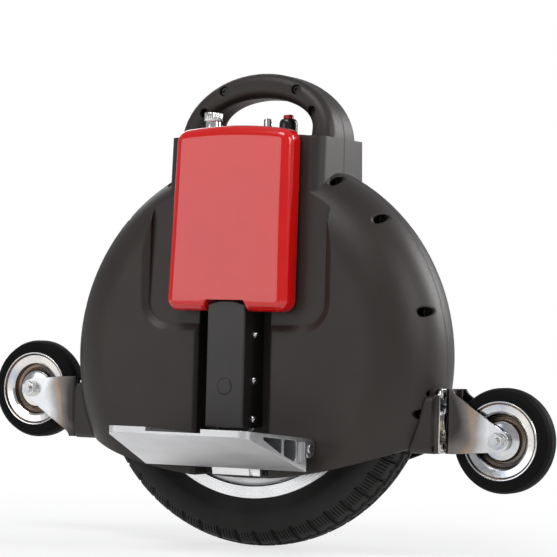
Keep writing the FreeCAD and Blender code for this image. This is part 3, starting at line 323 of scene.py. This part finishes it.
BLACK = plastic("shell_plastic", (0.020, 0.015, 0.013), (0.026, 0.020, 0.017), (0.40, 0.52),
                edge_r=0.0028, specular=0.4)
COVER = plastic("cover_plastic", (0.016, 0.013, 0.012), (0.022, 0.018, 0.017), (0.30, 0.40), grain=700.0)
GLOSS = plastic("panel_plastic", (0.012, 0.012, 0.012), (0.02, 0.02, 0.02), (0.16, 0.24), bump=0.05)
RED_CAP = plastic("button_plastic", (0.55, 0.01, 0.01), (0.65, 0.02, 0.015), (0.22, 0.3), bump=0.05)
LENS = plastic("lens_plastic", (0.55, 0.6, 0.66), (0.75, 0.8, 0.86), (0.08, 0.14), bump=0.03)
CELL_WRAP = plastic("battery_wrap", (0.03, 0.10, 0.3), (0.04, 0.14, 0.4), (0.3, 0.4))
BOARD = plastic("circuit_board", (0.02, 0.15, 0.05), (0.03, 0.22, 0.08), (0.3, 0.5))
PAD = pad_skin("pad_skin")
SATIN = metal("pedal_aluminium", (0.60, 0.60, 0.61), (0.70, 0.70, 0.71), (0.30, 0.40), stretch=(0.04, 1, 1))
BAR = metal("arm_aluminium", (0.78, 0.78, 0.78), (0.88, 0.88, 0.88), (0.30, 0.42))
STEEL = metal("bright_steel", (0.60, 0.60, 0.61), (0.72, 0.72, 0.73), (0.16, 0.26))
CHROME = metal("nickel_plate", (0.70, 0.69, 0.67), (0.80, 0.79, 0.77), (0.10, 0.18))
ZINC = metal("zinc_plate", (0.46, 0.50, 0.58), (0.84, 0.81, 0.76), (0.12, 0.22), broad_scale=30.0)
# Fork zinc with painted reflections: painted dark reflection of the shell near the root and a painted amber
# glint band.
FORK_PAINTED_REFLECTION_ZINC = painted_reflection_zinc("fork_painted_reflection_zinc", 206 * MM, 242 * MM)
# Painted shade for the recessed bands of the caster wheel centres, mottled from dark grey to dark amber.
PAINTED_SHADE_ZINC = metal("painted_shade_zinc", (0.14, 0.135, 0.13), (0.34, 0.25, 0.18), (0.22, 0.34), broad_scale=24.0)
DARK_STEEL = metal("blackened_steel", (0.03, 0.03, 0.03), (0.05, 0.05, 0.05), (0.35, 0.5))
IRON = metal("stator_iron", (0.22, 0.16, 0.12), (0.30, 0.22, 0.17), (0.4, 0.55))
COVER_METAL = turned_metal("motor_cover_metal", (0.48, 0.48, 0.49), (0.60, 0.60, 0.61), (0.26, 0.38),
                           (0, WHEEL_Z), 90.0)
RIM_METAL = turned_metal("rim_metal", (0.78, 0.78, 0.79), (0.88, 0.88, 0.89), (0.26, 0.34),
                         (0, WHEEL_Z), 140.0)
TYRE_RUBBER = rubber("tyre_rubber", (0.010, 0.009, 0.008), (0.017, 0.015, 0.014))
CASTER_RUBBER = rubber("caster_rubber", (0.002, 0.002, 0.002), (0.0045, 0.0042, 0.004), specular=0.12)
GRIP_RUBBER = rubber("grip_rubber", (0.10, 0.10, 0.10), (0.16, 0.16, 0.16))

SLOT_MATERIAL = {
    "shell": BLACK, "screws": DARK_STEEL, "leg_pad": PAD, "pad_backing": COVER, "hanger_arm": BAR,
    "arm_cover": COVER, "pedal": SATIN, "grip": GRIP_RUBBER, "motor_cover": COVER_METAL, "steel": STEEL,
    "battery": CELL_WRAP, "tyre": TYRE_RUBBER, "board": BOARD, "chrome": CHROME, "red": RED_CAP,
    "black_gloss": GLOSS, "lens": LENS, "copper": IRON, "zinc": ZINC}


def finish_nodes():
    """Give every node of the frame the material of its slot, or its own."""
    own = {"rim": RIM_METAL, "front_caster_tyre": CASTER_RUBBER, "rear_caster_tyre": CASTER_RUBBER}
    for part in frame["record"]["subparts"]:
        name = part["node"]
        mesh = frame["nodes"][name].data
        mesh.materials.clear()
        mesh.materials.append(own.get(name, SLOT_MATERIAL[part["material_slot"]]))


# ---------------------------------------------------------------- shared forms

def mesh_object(name, verts, faces, material, sharp):
    """Smooth closed form whose edges steeper than sharp degrees stay crisp."""
    mesh = bpy.data.meshes.new(name)
    mesh.from_pydata(verts, [], faces)
    mesh.validate()
    bm = bmesh.new()
    bm.from_mesh(mesh)
    bmesh.ops.recalc_face_normals(bm, faces=bm.faces)
    bm.to_mesh(mesh)
    bm.free()
    mesh.shade_smooth()
    mesh.set_sharp_from_angle(angle=math.radians(sharp))
    mesh.materials.append(material)
    obj = bpy.data.objects.new(name, mesh)
    bpy.context.collection.objects.link(obj)
    return obj


def turned_faces(columns, row, closed=False):
    """Quads between neighbouring columns of points that stand round an axis."""
    faces = []
    for column in range(columns):
        here = column * row
        there = (column + 1) % columns * row
        for i in range(row if closed else row - 1):
            j = (i + 1) % row
            faces.append((here + i, here + j, there + j, there + i))
    return faces


def lathe(name, profile, centre, axis, material, columns=96, sharp=30):
    """Form turned about an axis from (along, radius) points, with a flat face over each end."""
    centre = Vector(centre)
    turn_to = Vector((0, 0, 1)).rotation_difference(Vector(axis)).to_matrix()
    row = len(profile)
    verts = []
    for column in range(columns):
        angle = 2 * math.pi * column / columns
        for along, r in profile:
            verts.append(centre + turn_to @ Vector((r * math.cos(angle), r * math.sin(angle), along)))
    faces = turned_faces(columns, row)
    for i in (0, row - 1):
        faces.append([column * row + i for column in range(columns)])
    return mesh_object(name, verts, faces, material, sharp)


def dress(piece, node, body):
    """Stand for a node on a body: hide the node and attach the piece to the body."""
    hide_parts(node)
    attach(piece, body)


# ---------------------------------------------------------------- tyre

def tread_cut(turn, y, reach):
    """Depth of the tread's pattern at a place on the tyre. Turn counts blocks and reach is 0 at the
    crown and 1 where the section is widest."""
    along = turn % 1.0
    zig = abs(along - 0.5) * 2 - 0.5
    side = 1 if y >= 0 else -1
    offset = along if side > 0 else (along + 0.5) % 1.0
    if abs(y - zig * CENTRE_ZIG) < GROOVE_W / 2:
        return TREAD_DEPTH
    mid = SIDE_GROOVE_Y + zig * SIDE_ZIG
    if abs(abs(y) - mid) < GROOVE_W / 2.2:
        return TREAD_DEPTH * 0.85
    if abs(y) < mid:
        return SIPE_DEPTH if abs(offset - 0.5) < 0.05 else 0.0
    if reach > TREAD_REACH:
        return 0.0
    if offset < LATERAL_SHARE:
        return TREAD_DEPTH * 0.9
    sipe = (offset - LATERAL_SHARE) / (1 - LATERAL_SHARE) * SIPES % 1.0
    if 0.38 < sipe < 0.64 and 0.62 < reach < 0.90:
        return SIPE_DEPTH
    return 0.0


def make_tyre():
    """Tyre with zigzag grooves along its crown and siped blocks at its shoulders."""
    centre_r = TYRE_R - SECTION_R
    low, high = math.radians(90 - SECTION_TURN), math.radians(90 + SECTION_TURN)
    columns = BLOCKS * STEPS_PER_BLOCK
    bead_y = RIM_HALF_W - BEAD_IN
    bead = [(-bead_y, RIM_R + BEAD_UP), (-bead_y, RIM_R - BEAD_DOWN),
            (bead_y, RIM_R - BEAD_DOWN), (bead_y, RIM_R + BEAD_UP)]
    verts = []
    for column in range(columns):
        angle = 2 * math.pi * column / columns
        turn = column / STEPS_PER_BLOCK
        spin = math.sin(angle), math.cos(angle)
        for i in range(STEPS_ACROSS + 1):
            t = low + (high - low) * i / STEPS_ACROSS
            y = TYRE_HALF_W * math.cos(t)
            r = centre_r + SECTION_R * math.sin(t)
            reach = abs(math.cos(t))
            if math.sin(t) > 0.25:
                depth = tread_cut(turn, y, reach)
                y -= depth * math.cos(t)
                r -= depth * math.sin(t)
            verts.append((r * spin[0], y, WHEEL_Z + r * spin[1]))
        for y, r in bead:
            verts.append((r * spin[0], y, WHEEL_Z + r * spin[1]))
    faces = turned_faces(columns, STEPS_ACROSS + 1 + len(bead), closed=True)
    tyre = mesh_object("tyre_tread", verts, faces, TYRE_RUBBER, 35)
    dress(tyre, "tyre", "wheel")


# ---------------------------------------------------------------- leg pads

def graded(count, crowding):
    """Places from -1 to 1 that crowd towards the ends, where the form turns."""
    places = []
    for i in range(count + 1):
        u = 2 * i / count - 1
        places.append(math.copysign(1 - (1 - abs(u)) ** crowding, u) if u else 0.0)
    return places


def make_pad(name, side, node):
    """Pad: a rounded block that tapers upwards, with a bowed top edge and a notch over the arm."""
    top_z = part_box(node)[1].z
    height = (top_z - PAD_LOW) / 2
    mid_z = (top_z + PAD_LOW) / 2
    thick = (PAD_FRONT_TOP - BACK_TOP) / 2
    us, vs, ws = graded(56, 1.8), graded(64, 1.8), graded(16, 1.3)
    grid = {}
    verts = []
    faces = []

    def held(value, limit):
        return max(-limit, min(limit, value))

    def rounded_block(a, b, c):
        """Round the upright corners, then the rim of the front face."""
        half = Vector((PAD_BOTTOM_HALF, height))
        point = Vector((a * half.x, b * half.y))
        core = Vector((held(point.x, half.x - PAD_CORNER), held(point.y, half.y - PAD_CORNER)))
        out = point - core
        reach = max(abs(out.x), abs(out.y))
        if reach > 0:
            point = core + out.normalized() * reach
        short = max(0.0, PAD_ROUND - (PAD_CORNER - reach))
        front = thick - PAD_ROUND + math.sqrt(max(0.0, PAD_ROUND ** 2 - short ** 2))
        return point.x / half.x, point.y / half.y, ((c + 1) / 2 * (front + thick) - thick) / thick

    def place(a, b, c):
        """Index of the point for a place on the cube from -1 to 1, made once."""
        key = (round(a, 6), round(b, 6), round(c, 6))
        if key in grid:
            return grid[key]
        across, up, out = rounded_block(a, b, c)
        lift = (up + 1) / 2
        half_l = PAD_BOTTOM_HALF + (PAD_TOP_HALF - PAD_BOTTOM_HALF) * lift
        back = BACK_BOTTOM + (BACK_TOP - BACK_BOTTOM) * lift
        front = PAD_FRONT_BOTTOM + (PAD_FRONT_TOP - PAD_FRONT_BOTTOM) * lift
        crown = PAD_CROWN * (1 - across ** 2) * (1 - up ** 2) * max(out, 0)
        depth = back + (front - back) * (out + 1) / 2 + crown
        bow = PAD_TOP_BOW * (1 - across ** 2) * lift ** 3
        x, z = across * half_l, mid_z + up * height + bow
        if abs(x) < ARM_HI.x + NOTCH_GAP and z < ARM_HI.z + NOTCH_GAP:
            z = ARM_HI.z + NOTCH_GAP
        verts.append((x, side * depth, z))
        grid[key] = len(verts) - 1
        return grid[key]

    def sheet(first, second, at):
        for i in range(len(first) - 1):
            for j in range(len(second) - 1):
                corners = ((i, j), (i + 1, j), (i + 1, j + 1), (i, j + 1))
                faces.append([at(first[a], second[b]) for a, b in corners])

    for end in (-1.0, 1.0):
        sheet(us, vs, lambda a, b: place(a, b, end))
        sheet(us, ws, lambda a, c: place(a, end, c))
        sheet(vs, ws, lambda b, c: place(end, b, c))
    pad = mesh_object(name, verts, faces, PAD, 80)
    dress(pad, node, "chassis")


# ---------------------------------------------------------------- charging cap

def make_charge_cap():
    """Screw cap with a knurled crown over a smooth neck. A profile point is radius, height, and 1 where
    it is knurled."""
    lo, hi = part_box("charge_cap")
    crown_r = (hi.x - lo.x) / 2
    centre_x, centre_y = (hi.x + lo.x) / 2, (hi.y + lo.y) / 2
    neck_r = crown_r - CAP_STEP
    low = hi.z - CAP_CROWN_H
    profile = [(CAP_BORE_R, lo.z, 0), (neck_r, lo.z, 0), (neck_r, low - CAP_STEP, 0),
               (neck_r - CAP_STEP / 3, low, 0), (crown_r - CAP_STEP / 3, low, 0),
               (crown_r, low + CAP_STEP / 3, 1), (crown_r, hi.z - CAP_STEP, 1),
               (crown_r - CAP_STEP / 2, hi.z - CAP_STEP / 3, 0), (crown_r * 0.7, hi.z, 0), (TIP_R, hi.z, 0)]
    columns = CAP_TEETH * 4
    verts = []
    for column in range(columns):
        angle = 2 * math.pi * column / columns
        tooth = KNURL_DEPTH * abs(math.sin(angle * CAP_TEETH / 2))
        for r, z, knurled in profile:
            reach = r - tooth * knurled
            verts.append((centre_x + reach * math.cos(angle), centre_y + reach * math.sin(angle), z))
    row = len(profile)
    faces = turned_faces(columns, row)
    faces.append([column * row + row - 1 for column in range(columns)])
    cap = mesh_object("charge_cap_knurled", verts, faces, CHROME, 30)
    dress(cap, "charge_cap", "charge_cap")


# ---------------------------------------------------------------- power button

def make_button():
    """Bezel with an upright collar and a rounded top, and the red cap that stands proud of it."""
    lo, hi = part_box("button_bezel")
    centre = ((lo.x + hi.x) / 2, (lo.y + hi.y) / 2, 0)
    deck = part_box("deck_panel")[1].z
    cap_lo, cap_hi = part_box("button_cap")
    cap_r = (cap_hi.x - cap_lo.x) / 2
    bore = cap_r + BUTTON_GAP
    neck_r = DOME_R - DOME_NECK_STEP
    top = deck + DOME_H
    profile = [(lo.z, bore), (lo.z, neck_r), (deck, neck_r), (deck, DOME_R)]
    steps = 8
    for i in range(steps + 1):
        turn = math.pi / 2 * i / steps
        profile.append((top - DOME_CURVE + DOME_CURVE * math.sin(turn),
                        DOME_R + (bore + DOME_LIP - DOME_R) * (1 - math.cos(turn))))
    profile.append((top, bore))
    dome = lathe("button_dome", profile, centre, (0, 0, 1), GLOSS)
    dress(dome, "button_bezel", "chassis")
    crown = top + BUTTON_PROUD
    profile = [(cap_lo.z, TIP_R), (cap_lo.z, cap_r), (crown - 1.4 * MM, cap_r),
               (crown - 0.5 * MM, cap_r - 0.5 * MM), (crown, cap_r - 1.6 * MM), (crown + 0.3 * MM, TIP_R)]
    cap = lathe("button_red", profile, centre, (0, 0, 1), RED_CAP, 64)
    dress(cap, "button_cap", "power_button")


# ---------------------------------------------------------------- casters

def to_end(obj, rear, swivelled):
    """Leave a front piece in place, or turn it to the rear; the swivelled ones point the other way up."""
    if not rear:
        return
    move = Matrix.Rotation(math.pi, 4, "Z")
    if swivelled:
        about = Matrix.Translation((0, 0, CASTER_Z))
        move = about @ Matrix.Rotation(math.pi, 4, "X") @ about.inverted() @ move
    obj.data.transform(move)


def fork_section(x, y, normal, low, high):
    """Four corners of the strip at one place along its bend."""
    half = CHEEK_T / 2
    out = Vector((x, y)) + Vector(normal) * half
    back = Vector((x, y)) - Vector(normal) * half
    return [(out.x, out.y, low), (out.x, out.y, high), (back.x, back.y, high), (back.x, back.y, low)]


def cheek_edges():
    """Stations of one half of the fork from the middle of its crown to its nose: x, y, the strip's normal,
    and the heights of its lower and upper edges."""
    hub_lo, hub_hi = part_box("front_caster_hub")
    axle_x = (hub_lo.x + hub_hi.x) / 2
    axle_z = (hub_lo.z + hub_hi.z) / 2
    y = hub_hi.y + CHEEK_GAP + CHEEK_T / 2
    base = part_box("front_caster_fork")[0].x + CHEEK_T / 2
    low, high = CASTER_Z - EAR_H, CASTER_Z + EAR_H
    stations = []
    bend_steps, edge_steps, nose_steps = 6, 8, 11
    for i in range(bend_steps, -1, -1):
        turn = math.pi / 2 * i / bend_steps
        stations.append((base + BEND_R * (1 - math.sin(turn)), y - BEND_R * (1 - math.cos(turn)),
                         (-math.sin(turn), math.cos(turn)), low, high))
    ear_end = base + BEND_R + EAR_L
    stations.append((ear_end, y, (0, 1), low, high))
    stations.append((ear_end + SHOULDER_L / 2, y, (0, 1), low, high - SHOULDER_H * 0.6))
    slant_x, slant_z = ear_end + SHOULDER_L, high - SHOULDER_H
    nose_x, nose_z = axle_x + NOSE_R * math.sin(NOSE_LEAN), axle_z + NOSE_R * math.cos(NOSE_LEAN)
    tops = []
    for i in range(edge_steps + 1):
        share = i / edge_steps
        tops.append((slant_x + (nose_x - slant_x) * share, slant_z + (nose_z - slant_z) * share))
    for i in range(1, nose_steps + 1):
        turn = NOSE_LEAN + (math.pi / 2 - NOSE_LEAN) * i / nose_steps
        tops.append((axle_x + NOSE_R * math.sin(turn), axle_z + NOSE_R * math.cos(turn)))
    for x, top in tops:
        if x > axle_x:
            bottom = axle_z - math.sqrt(max(0.0, NOSE_R ** 2 - (x - axle_x) ** 2))
        else:
            bottom = low + (axle_z - NOSE_R - low) * (x - slant_x) / (axle_x - slant_x)
        stations.append((x, y, (0, 1), min(bottom, top - 0.05 * MM), top))
    return stations


def make_fork(end, rear):
    """Strip bent into a crown and two cheeks, each with a straight edge and a slanted one under an ear."""
    half = cheek_edges()
    path = [(x, -y, (n[0], -n[1]), low, high) for x, y, n, low, high in reversed(half)] + half
    verts = [corner for station in path for corner in fork_section(*station)]
    faces = [(0, 1, 2, 3), tuple(len(verts) - 4 + i for i in range(4))]
    for i in range(len(path) - 1):
        for j in range(4):
            k = (j + 1) % 4
            faces.append((i * 4 + j, i * 4 + k, i * 4 + 4 + k, i * 4 + 4 + j))
    fork = mesh_object(end + "_fork_strip", verts, faces, FORK_PAINTED_REFLECTION_ZINC, 30)
    to_end(fork, rear, True)
    dress(fork, end + "_caster_fork", end + "_caster_fork")


def plate_form(name):
    """Plate with rounded corners and a broken front edge."""
    outline = []
    steps = 6
    for corner, (sy, sz) in enumerate(((1, 1), (-1, 1), (-1, -1), (1, -1))):
        for i in range(steps + 1):
            turn = math.pi / 2 * (corner + i / steps)
            outline.append((sy * (PLATE_HALF_W - PLATE_CORNER) + PLATE_CORNER * math.cos(turn),
                            sz * (EAR_H - PLATE_CORNER) + PLATE_CORNER * math.sin(turn)))
    count = len(outline)
    front = PLATE_LO.x + PLATE_T
    rings = ((PLATE_LO.x, 0.0), (front - PLATE_EDGE, 0.0), (front, PLATE_EDGE))
    verts = []
    for x, inset in rings:
        for y, z in outline:
            verts.append((x, y * (1 - inset / PLATE_HALF_W), CASTER_Z + z * (1 - inset / EAR_H)))
    faces = [tuple(range(count)), tuple(2 * count + i for i in range(count))]
    for ring in range(2):
        near, far = ring * count, (ring + 1) * count
        for i in range(count):
            j = (i + 1) % count
            faces.append((near + i, near + j, far + j, far + i))
    return mesh_object(name, verts, faces, ZINC, 30)


def make_caster_plate(end, rear):
    """Narrow fixing plate with its raceway, kingpin and four bolt heads."""
    plate = plate_form(end + "_plate")
    race_r = PLATE_HALF_W - 1 * MM
    seat, race_top = PLATE_T - 0.2 * MM, PLATE_T + RACE_H
    pin_end = PLATE_HI.x - PLATE_LO.x
    profile = [(seat, TIP_R * 1.5), (seat, race_r - 3 * MM), (PLATE_T + 2 * MM, race_r),
               (race_top - 0.4 * MM, race_r), (race_top, race_r - 0.6 * MM), (race_top, KINGPIN_R),
               (pin_end - 1 * MM, KINGPIN_R), (pin_end - 1 * MM, KINGPIN_R + 1.2 * MM),
               (pin_end, KINGPIN_R + 0.4 * MM), (pin_end, TIP_R * 1.5)]
    raceway = lathe(end + "_raceway", profile, (PLATE_LO.x, 0, CASTER_Z), (1, 0, 0), ZINC, 72)
    seat, top = PLATE_T - 0.1 * MM, PLATE_T + PLATE_BOLT_H
    profile = [(seat, TIP_R), (seat, PLATE_BOLT_R), (top - 0.6 * MM, PLATE_BOLT_R),
               (top, PLATE_BOLT_R - 1 * MM), (top, TIP_R)]
    bolts = []
    for sy in (-1, 1):
        for sz in (-1, 1):
            name = "%s_plate_bolt_%d%d" % (end, sy + 1, sz + 1)
            centre = (PLATE_LO.x, sy * PLATE_BOLT_Y, CASTER_Z + sz * PLATE_BOLT_Z)
            bolts.append(lathe(name, profile, centre, (1, 0, 0), ZINC, 6, 20))
    for piece in [plate, raceway] + bolts:
        to_end(piece, rear, False)
        node = end + ("_caster_plate_bolts" if piece in bolts else "_caster_plate")
        dress(piece, node, "chassis")


def make_hub(end, rear):
    """Pressed wheel centre: rolled edge, bright dished band, deep step and groove by the rolled edge
    darkened with painted shade, and bright inner disc.
    """
    lo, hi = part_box("front_caster_hub")
    centre = Vector(((lo.x + hi.x) / 2, 0, (lo.z + hi.z) / 2))
    edge_r = (hi.z - lo.z) / 2
    half = (hi.y - lo.y) / 2
    near = [(depth * MM - half, min(r * MM, edge_r)) for depth, r in HUB_SECTION]
    near.append((HUB_EDGE_DEPTH * MM - half, edge_r))
    profile = near + [(-along, r) for along, r in reversed(near)]
    hub = lathe(end + "_wheel_centre", profile, centre, (0, 1, 0), ZINC, 128, 24)
    # Second material: painted shade for the faces in the recessed bands.
    hub.data.materials.append(PAINTED_SHADE_ZINC)
    for face in hub.data.polygons:
        offset = face.center - centre
        reach = math.hypot(offset.x, offset.z)
        if any(inner * MM < reach < outer * MM for inner, outer in HUB_PAINTED_SHADE_BANDS):
            face.material_index = 1
    to_end(hub, rear, True)
    dress(hub, end + "_caster_hub", end + "_caster_wheel")


# ---------------------------------------------------------------- stage

def seen_by(nodes, links, first_ray, second_ray):
    """1 for two kinds of ray and 0 for all others."""
    paths = nodes.new("ShaderNodeLightPath")
    seen = nodes.new("ShaderNodeMath")
    seen.operation = "MAXIMUM"
    links.new(paths.outputs[first_ray], seen.inputs[0])
    links.new(paths.outputs[second_ray], seen.inputs[1])
    return seen.outputs["Value"]


def mixed_white(name, share, near, far):
    """Pale surface that camera and mirror rays see as near white. It takes shadows near the object and
    turns fully white further away."""
    material = bpy.data.materials.new(name)
    material.use_nodes = True
    nodes = material.node_tree.nodes
    links = material.node_tree.links
    nodes.clear()
    away = nodes.new("ShaderNodeVectorMath")
    away.operation = "LENGTH"
    links.new(nodes.new("ShaderNodeTexCoord").outputs["Object"], away.inputs[0])
    fade = nodes.new("ShaderNodeMapRange")
    fade.interpolation_type = "SMOOTHSTEP"
    fade.inputs["From Min"].default_value = near
    fade.inputs["From Max"].default_value = far
    fade.inputs["To Min"].default_value = share
    fade.inputs["To Max"].default_value = 1.0
    links.new(away.outputs["Value"], fade.inputs["Value"])
    amount = nodes.new("ShaderNodeMath")
    amount.operation = "MULTIPLY"
    links.new(fade.outputs["Result"], amount.inputs[1])
    links.new(seen_by(nodes, links, "Is Camera Ray", "Is Glossy Ray"), amount.inputs[0])
    matt = nodes.new("ShaderNodeBsdfDiffuse")
    matt.inputs["Color"].default_value = (0.86, 0.86, 0.86, 1)
    glow = nodes.new("ShaderNodeEmission")
    glow.inputs["Color"].default_value = (1, 1, 1, 1)
    mix = nodes.new("ShaderNodeMixShader")
    links.new(amount.outputs["Value"], mix.inputs["Fac"])
    links.new(matt.outputs["BSDF"], mix.inputs[1])
    links.new(glow.outputs["Emission"], mix.inputs[2])
    out = nodes.new("ShaderNodeOutputMaterial")
    links.new(mix.outputs["Shader"], out.inputs["Surface"])
    return material


def make_floor():
    half = 8.0
    corners = [(-half, -half, 0), (half, -half, 0), (half, half, 0), (-half, half, 0)]
    mesh = bpy.data.meshes.new("floor")
    mesh.from_pydata(corners, [], [(0, 1, 2, 3)])
    mesh.materials.append(mixed_white("floor_white", share=0.72, near=0.25, far=0.9))
    floor = bpy.data.objects.new("floor", mesh)
    bpy.context.collection.objects.link(floor)


def make_world():
    """Soft pale light all round, seen by the camera as white."""
    world = bpy.data.worlds.new("studio")
    bpy.context.scene.world = world
    world.use_nodes = True
    nodes = world.node_tree.nodes
    links = world.node_tree.links
    nodes.clear()
    ambient = nodes.new("ShaderNodeBackground")
    ambient.inputs["Color"].default_value = (0.93, 0.96, 1.0, 1)
    ambient.inputs["Strength"].default_value = 0.35
    white = nodes.new("ShaderNodeBackground")
    white.inputs["Color"].default_value = (1, 1, 1, 1)
    mix = nodes.new("ShaderNodeMixShader")
    links.new(seen_by(nodes, links, "Is Camera Ray", "Is Transmission Ray"), mix.inputs["Fac"])
    links.new(ambient.outputs["Background"], mix.inputs[1])
    links.new(white.outputs["Background"], mix.inputs[2])
    out = nodes.new("ShaderNodeOutputWorld")
    links.new(mix.outputs["Shader"], out.inputs["Surface"])


def soft_box(name, place, target, size, power):
    """Rectangular lamp of a size in metres and a power in watts."""
    light = bpy.data.lights.new(name, "AREA")
    light.shape = "RECTANGLE"
    light.size, light.size_y = size
    light.energy = power
    obj = bpy.data.objects.new(name, light)
    obj.location = place
    obj.rotation_euler = (Vector(target) - Vector(place)).to_track_quat("-Z", "Y").to_euler()
    bpy.context.collection.objects.link(obj)


def make_lights():
    middle = (0, 0, 0.25)
    soft_box("key", (-0.2, -1.6, 2.6), middle, (1.6, 1.2), 40)
    soft_box("front_left", (-1.25, -2.1, 0.62), middle, (1.0, 0.9), 5.5)
    soft_box("side", (2.3, -0.2, 1.3), middle, (1.0, 1.2), 20)
    soft_box("back_right", (1.25, 1.9, 1.1), (0, 0, 0.40), (0.8, 1.0), 24)
    soft_box("back_left", (-1.5, 1.6, 1.5), middle, (1.2, 1.0), 10)


# ---------------------------------------------------------------- camera

CAMERA_AT = Vector((1.1444, -2.1077, 0.1986))
CAMERA_TARGET = Vector((0, 0, 0.2579))
CAMERA_ROLL = 1.4           # degrees
CAMERA_LENS = 162.2
CAMERA_SHIFT = (0.025, -0.006)


def make_camera():
    data = bpy.data.cameras.new("camera")
    data.lens = CAMERA_LENS
    data.sensor_width = 36
    data.shift_x, data.shift_y = CAMERA_SHIFT
    camera = bpy.data.objects.new("camera", data)
    aim = (CAMERA_TARGET - CAMERA_AT).to_track_quat("-Z", "Y").to_matrix().to_4x4()
    roll = Matrix.Rotation(math.radians(CAMERA_ROLL), 4, "Z")
    camera.matrix_world = Matrix.Translation(CAMERA_AT) @ aim @ roll
    bpy.context.collection.objects.link(camera)
    bpy.context.scene.camera = camera


finish_nodes()
make_tyre()
make_pad("near_pad_form", -1, "near_leg_pad")
make_pad("far_pad_form", 1, "far_leg_pad")
make_charge_cap()
make_button()
for end_name, at_rear in (("front", False), ("rear", True)):
    make_fork(end_name, at_rear)
    make_caster_plate(end_name, at_rear)
    make_hub(end_name, at_rear)
make_floor()
make_world()
make_lights()
make_camera()
bpy.context.scene.view_settings.view_transform = "Standard"
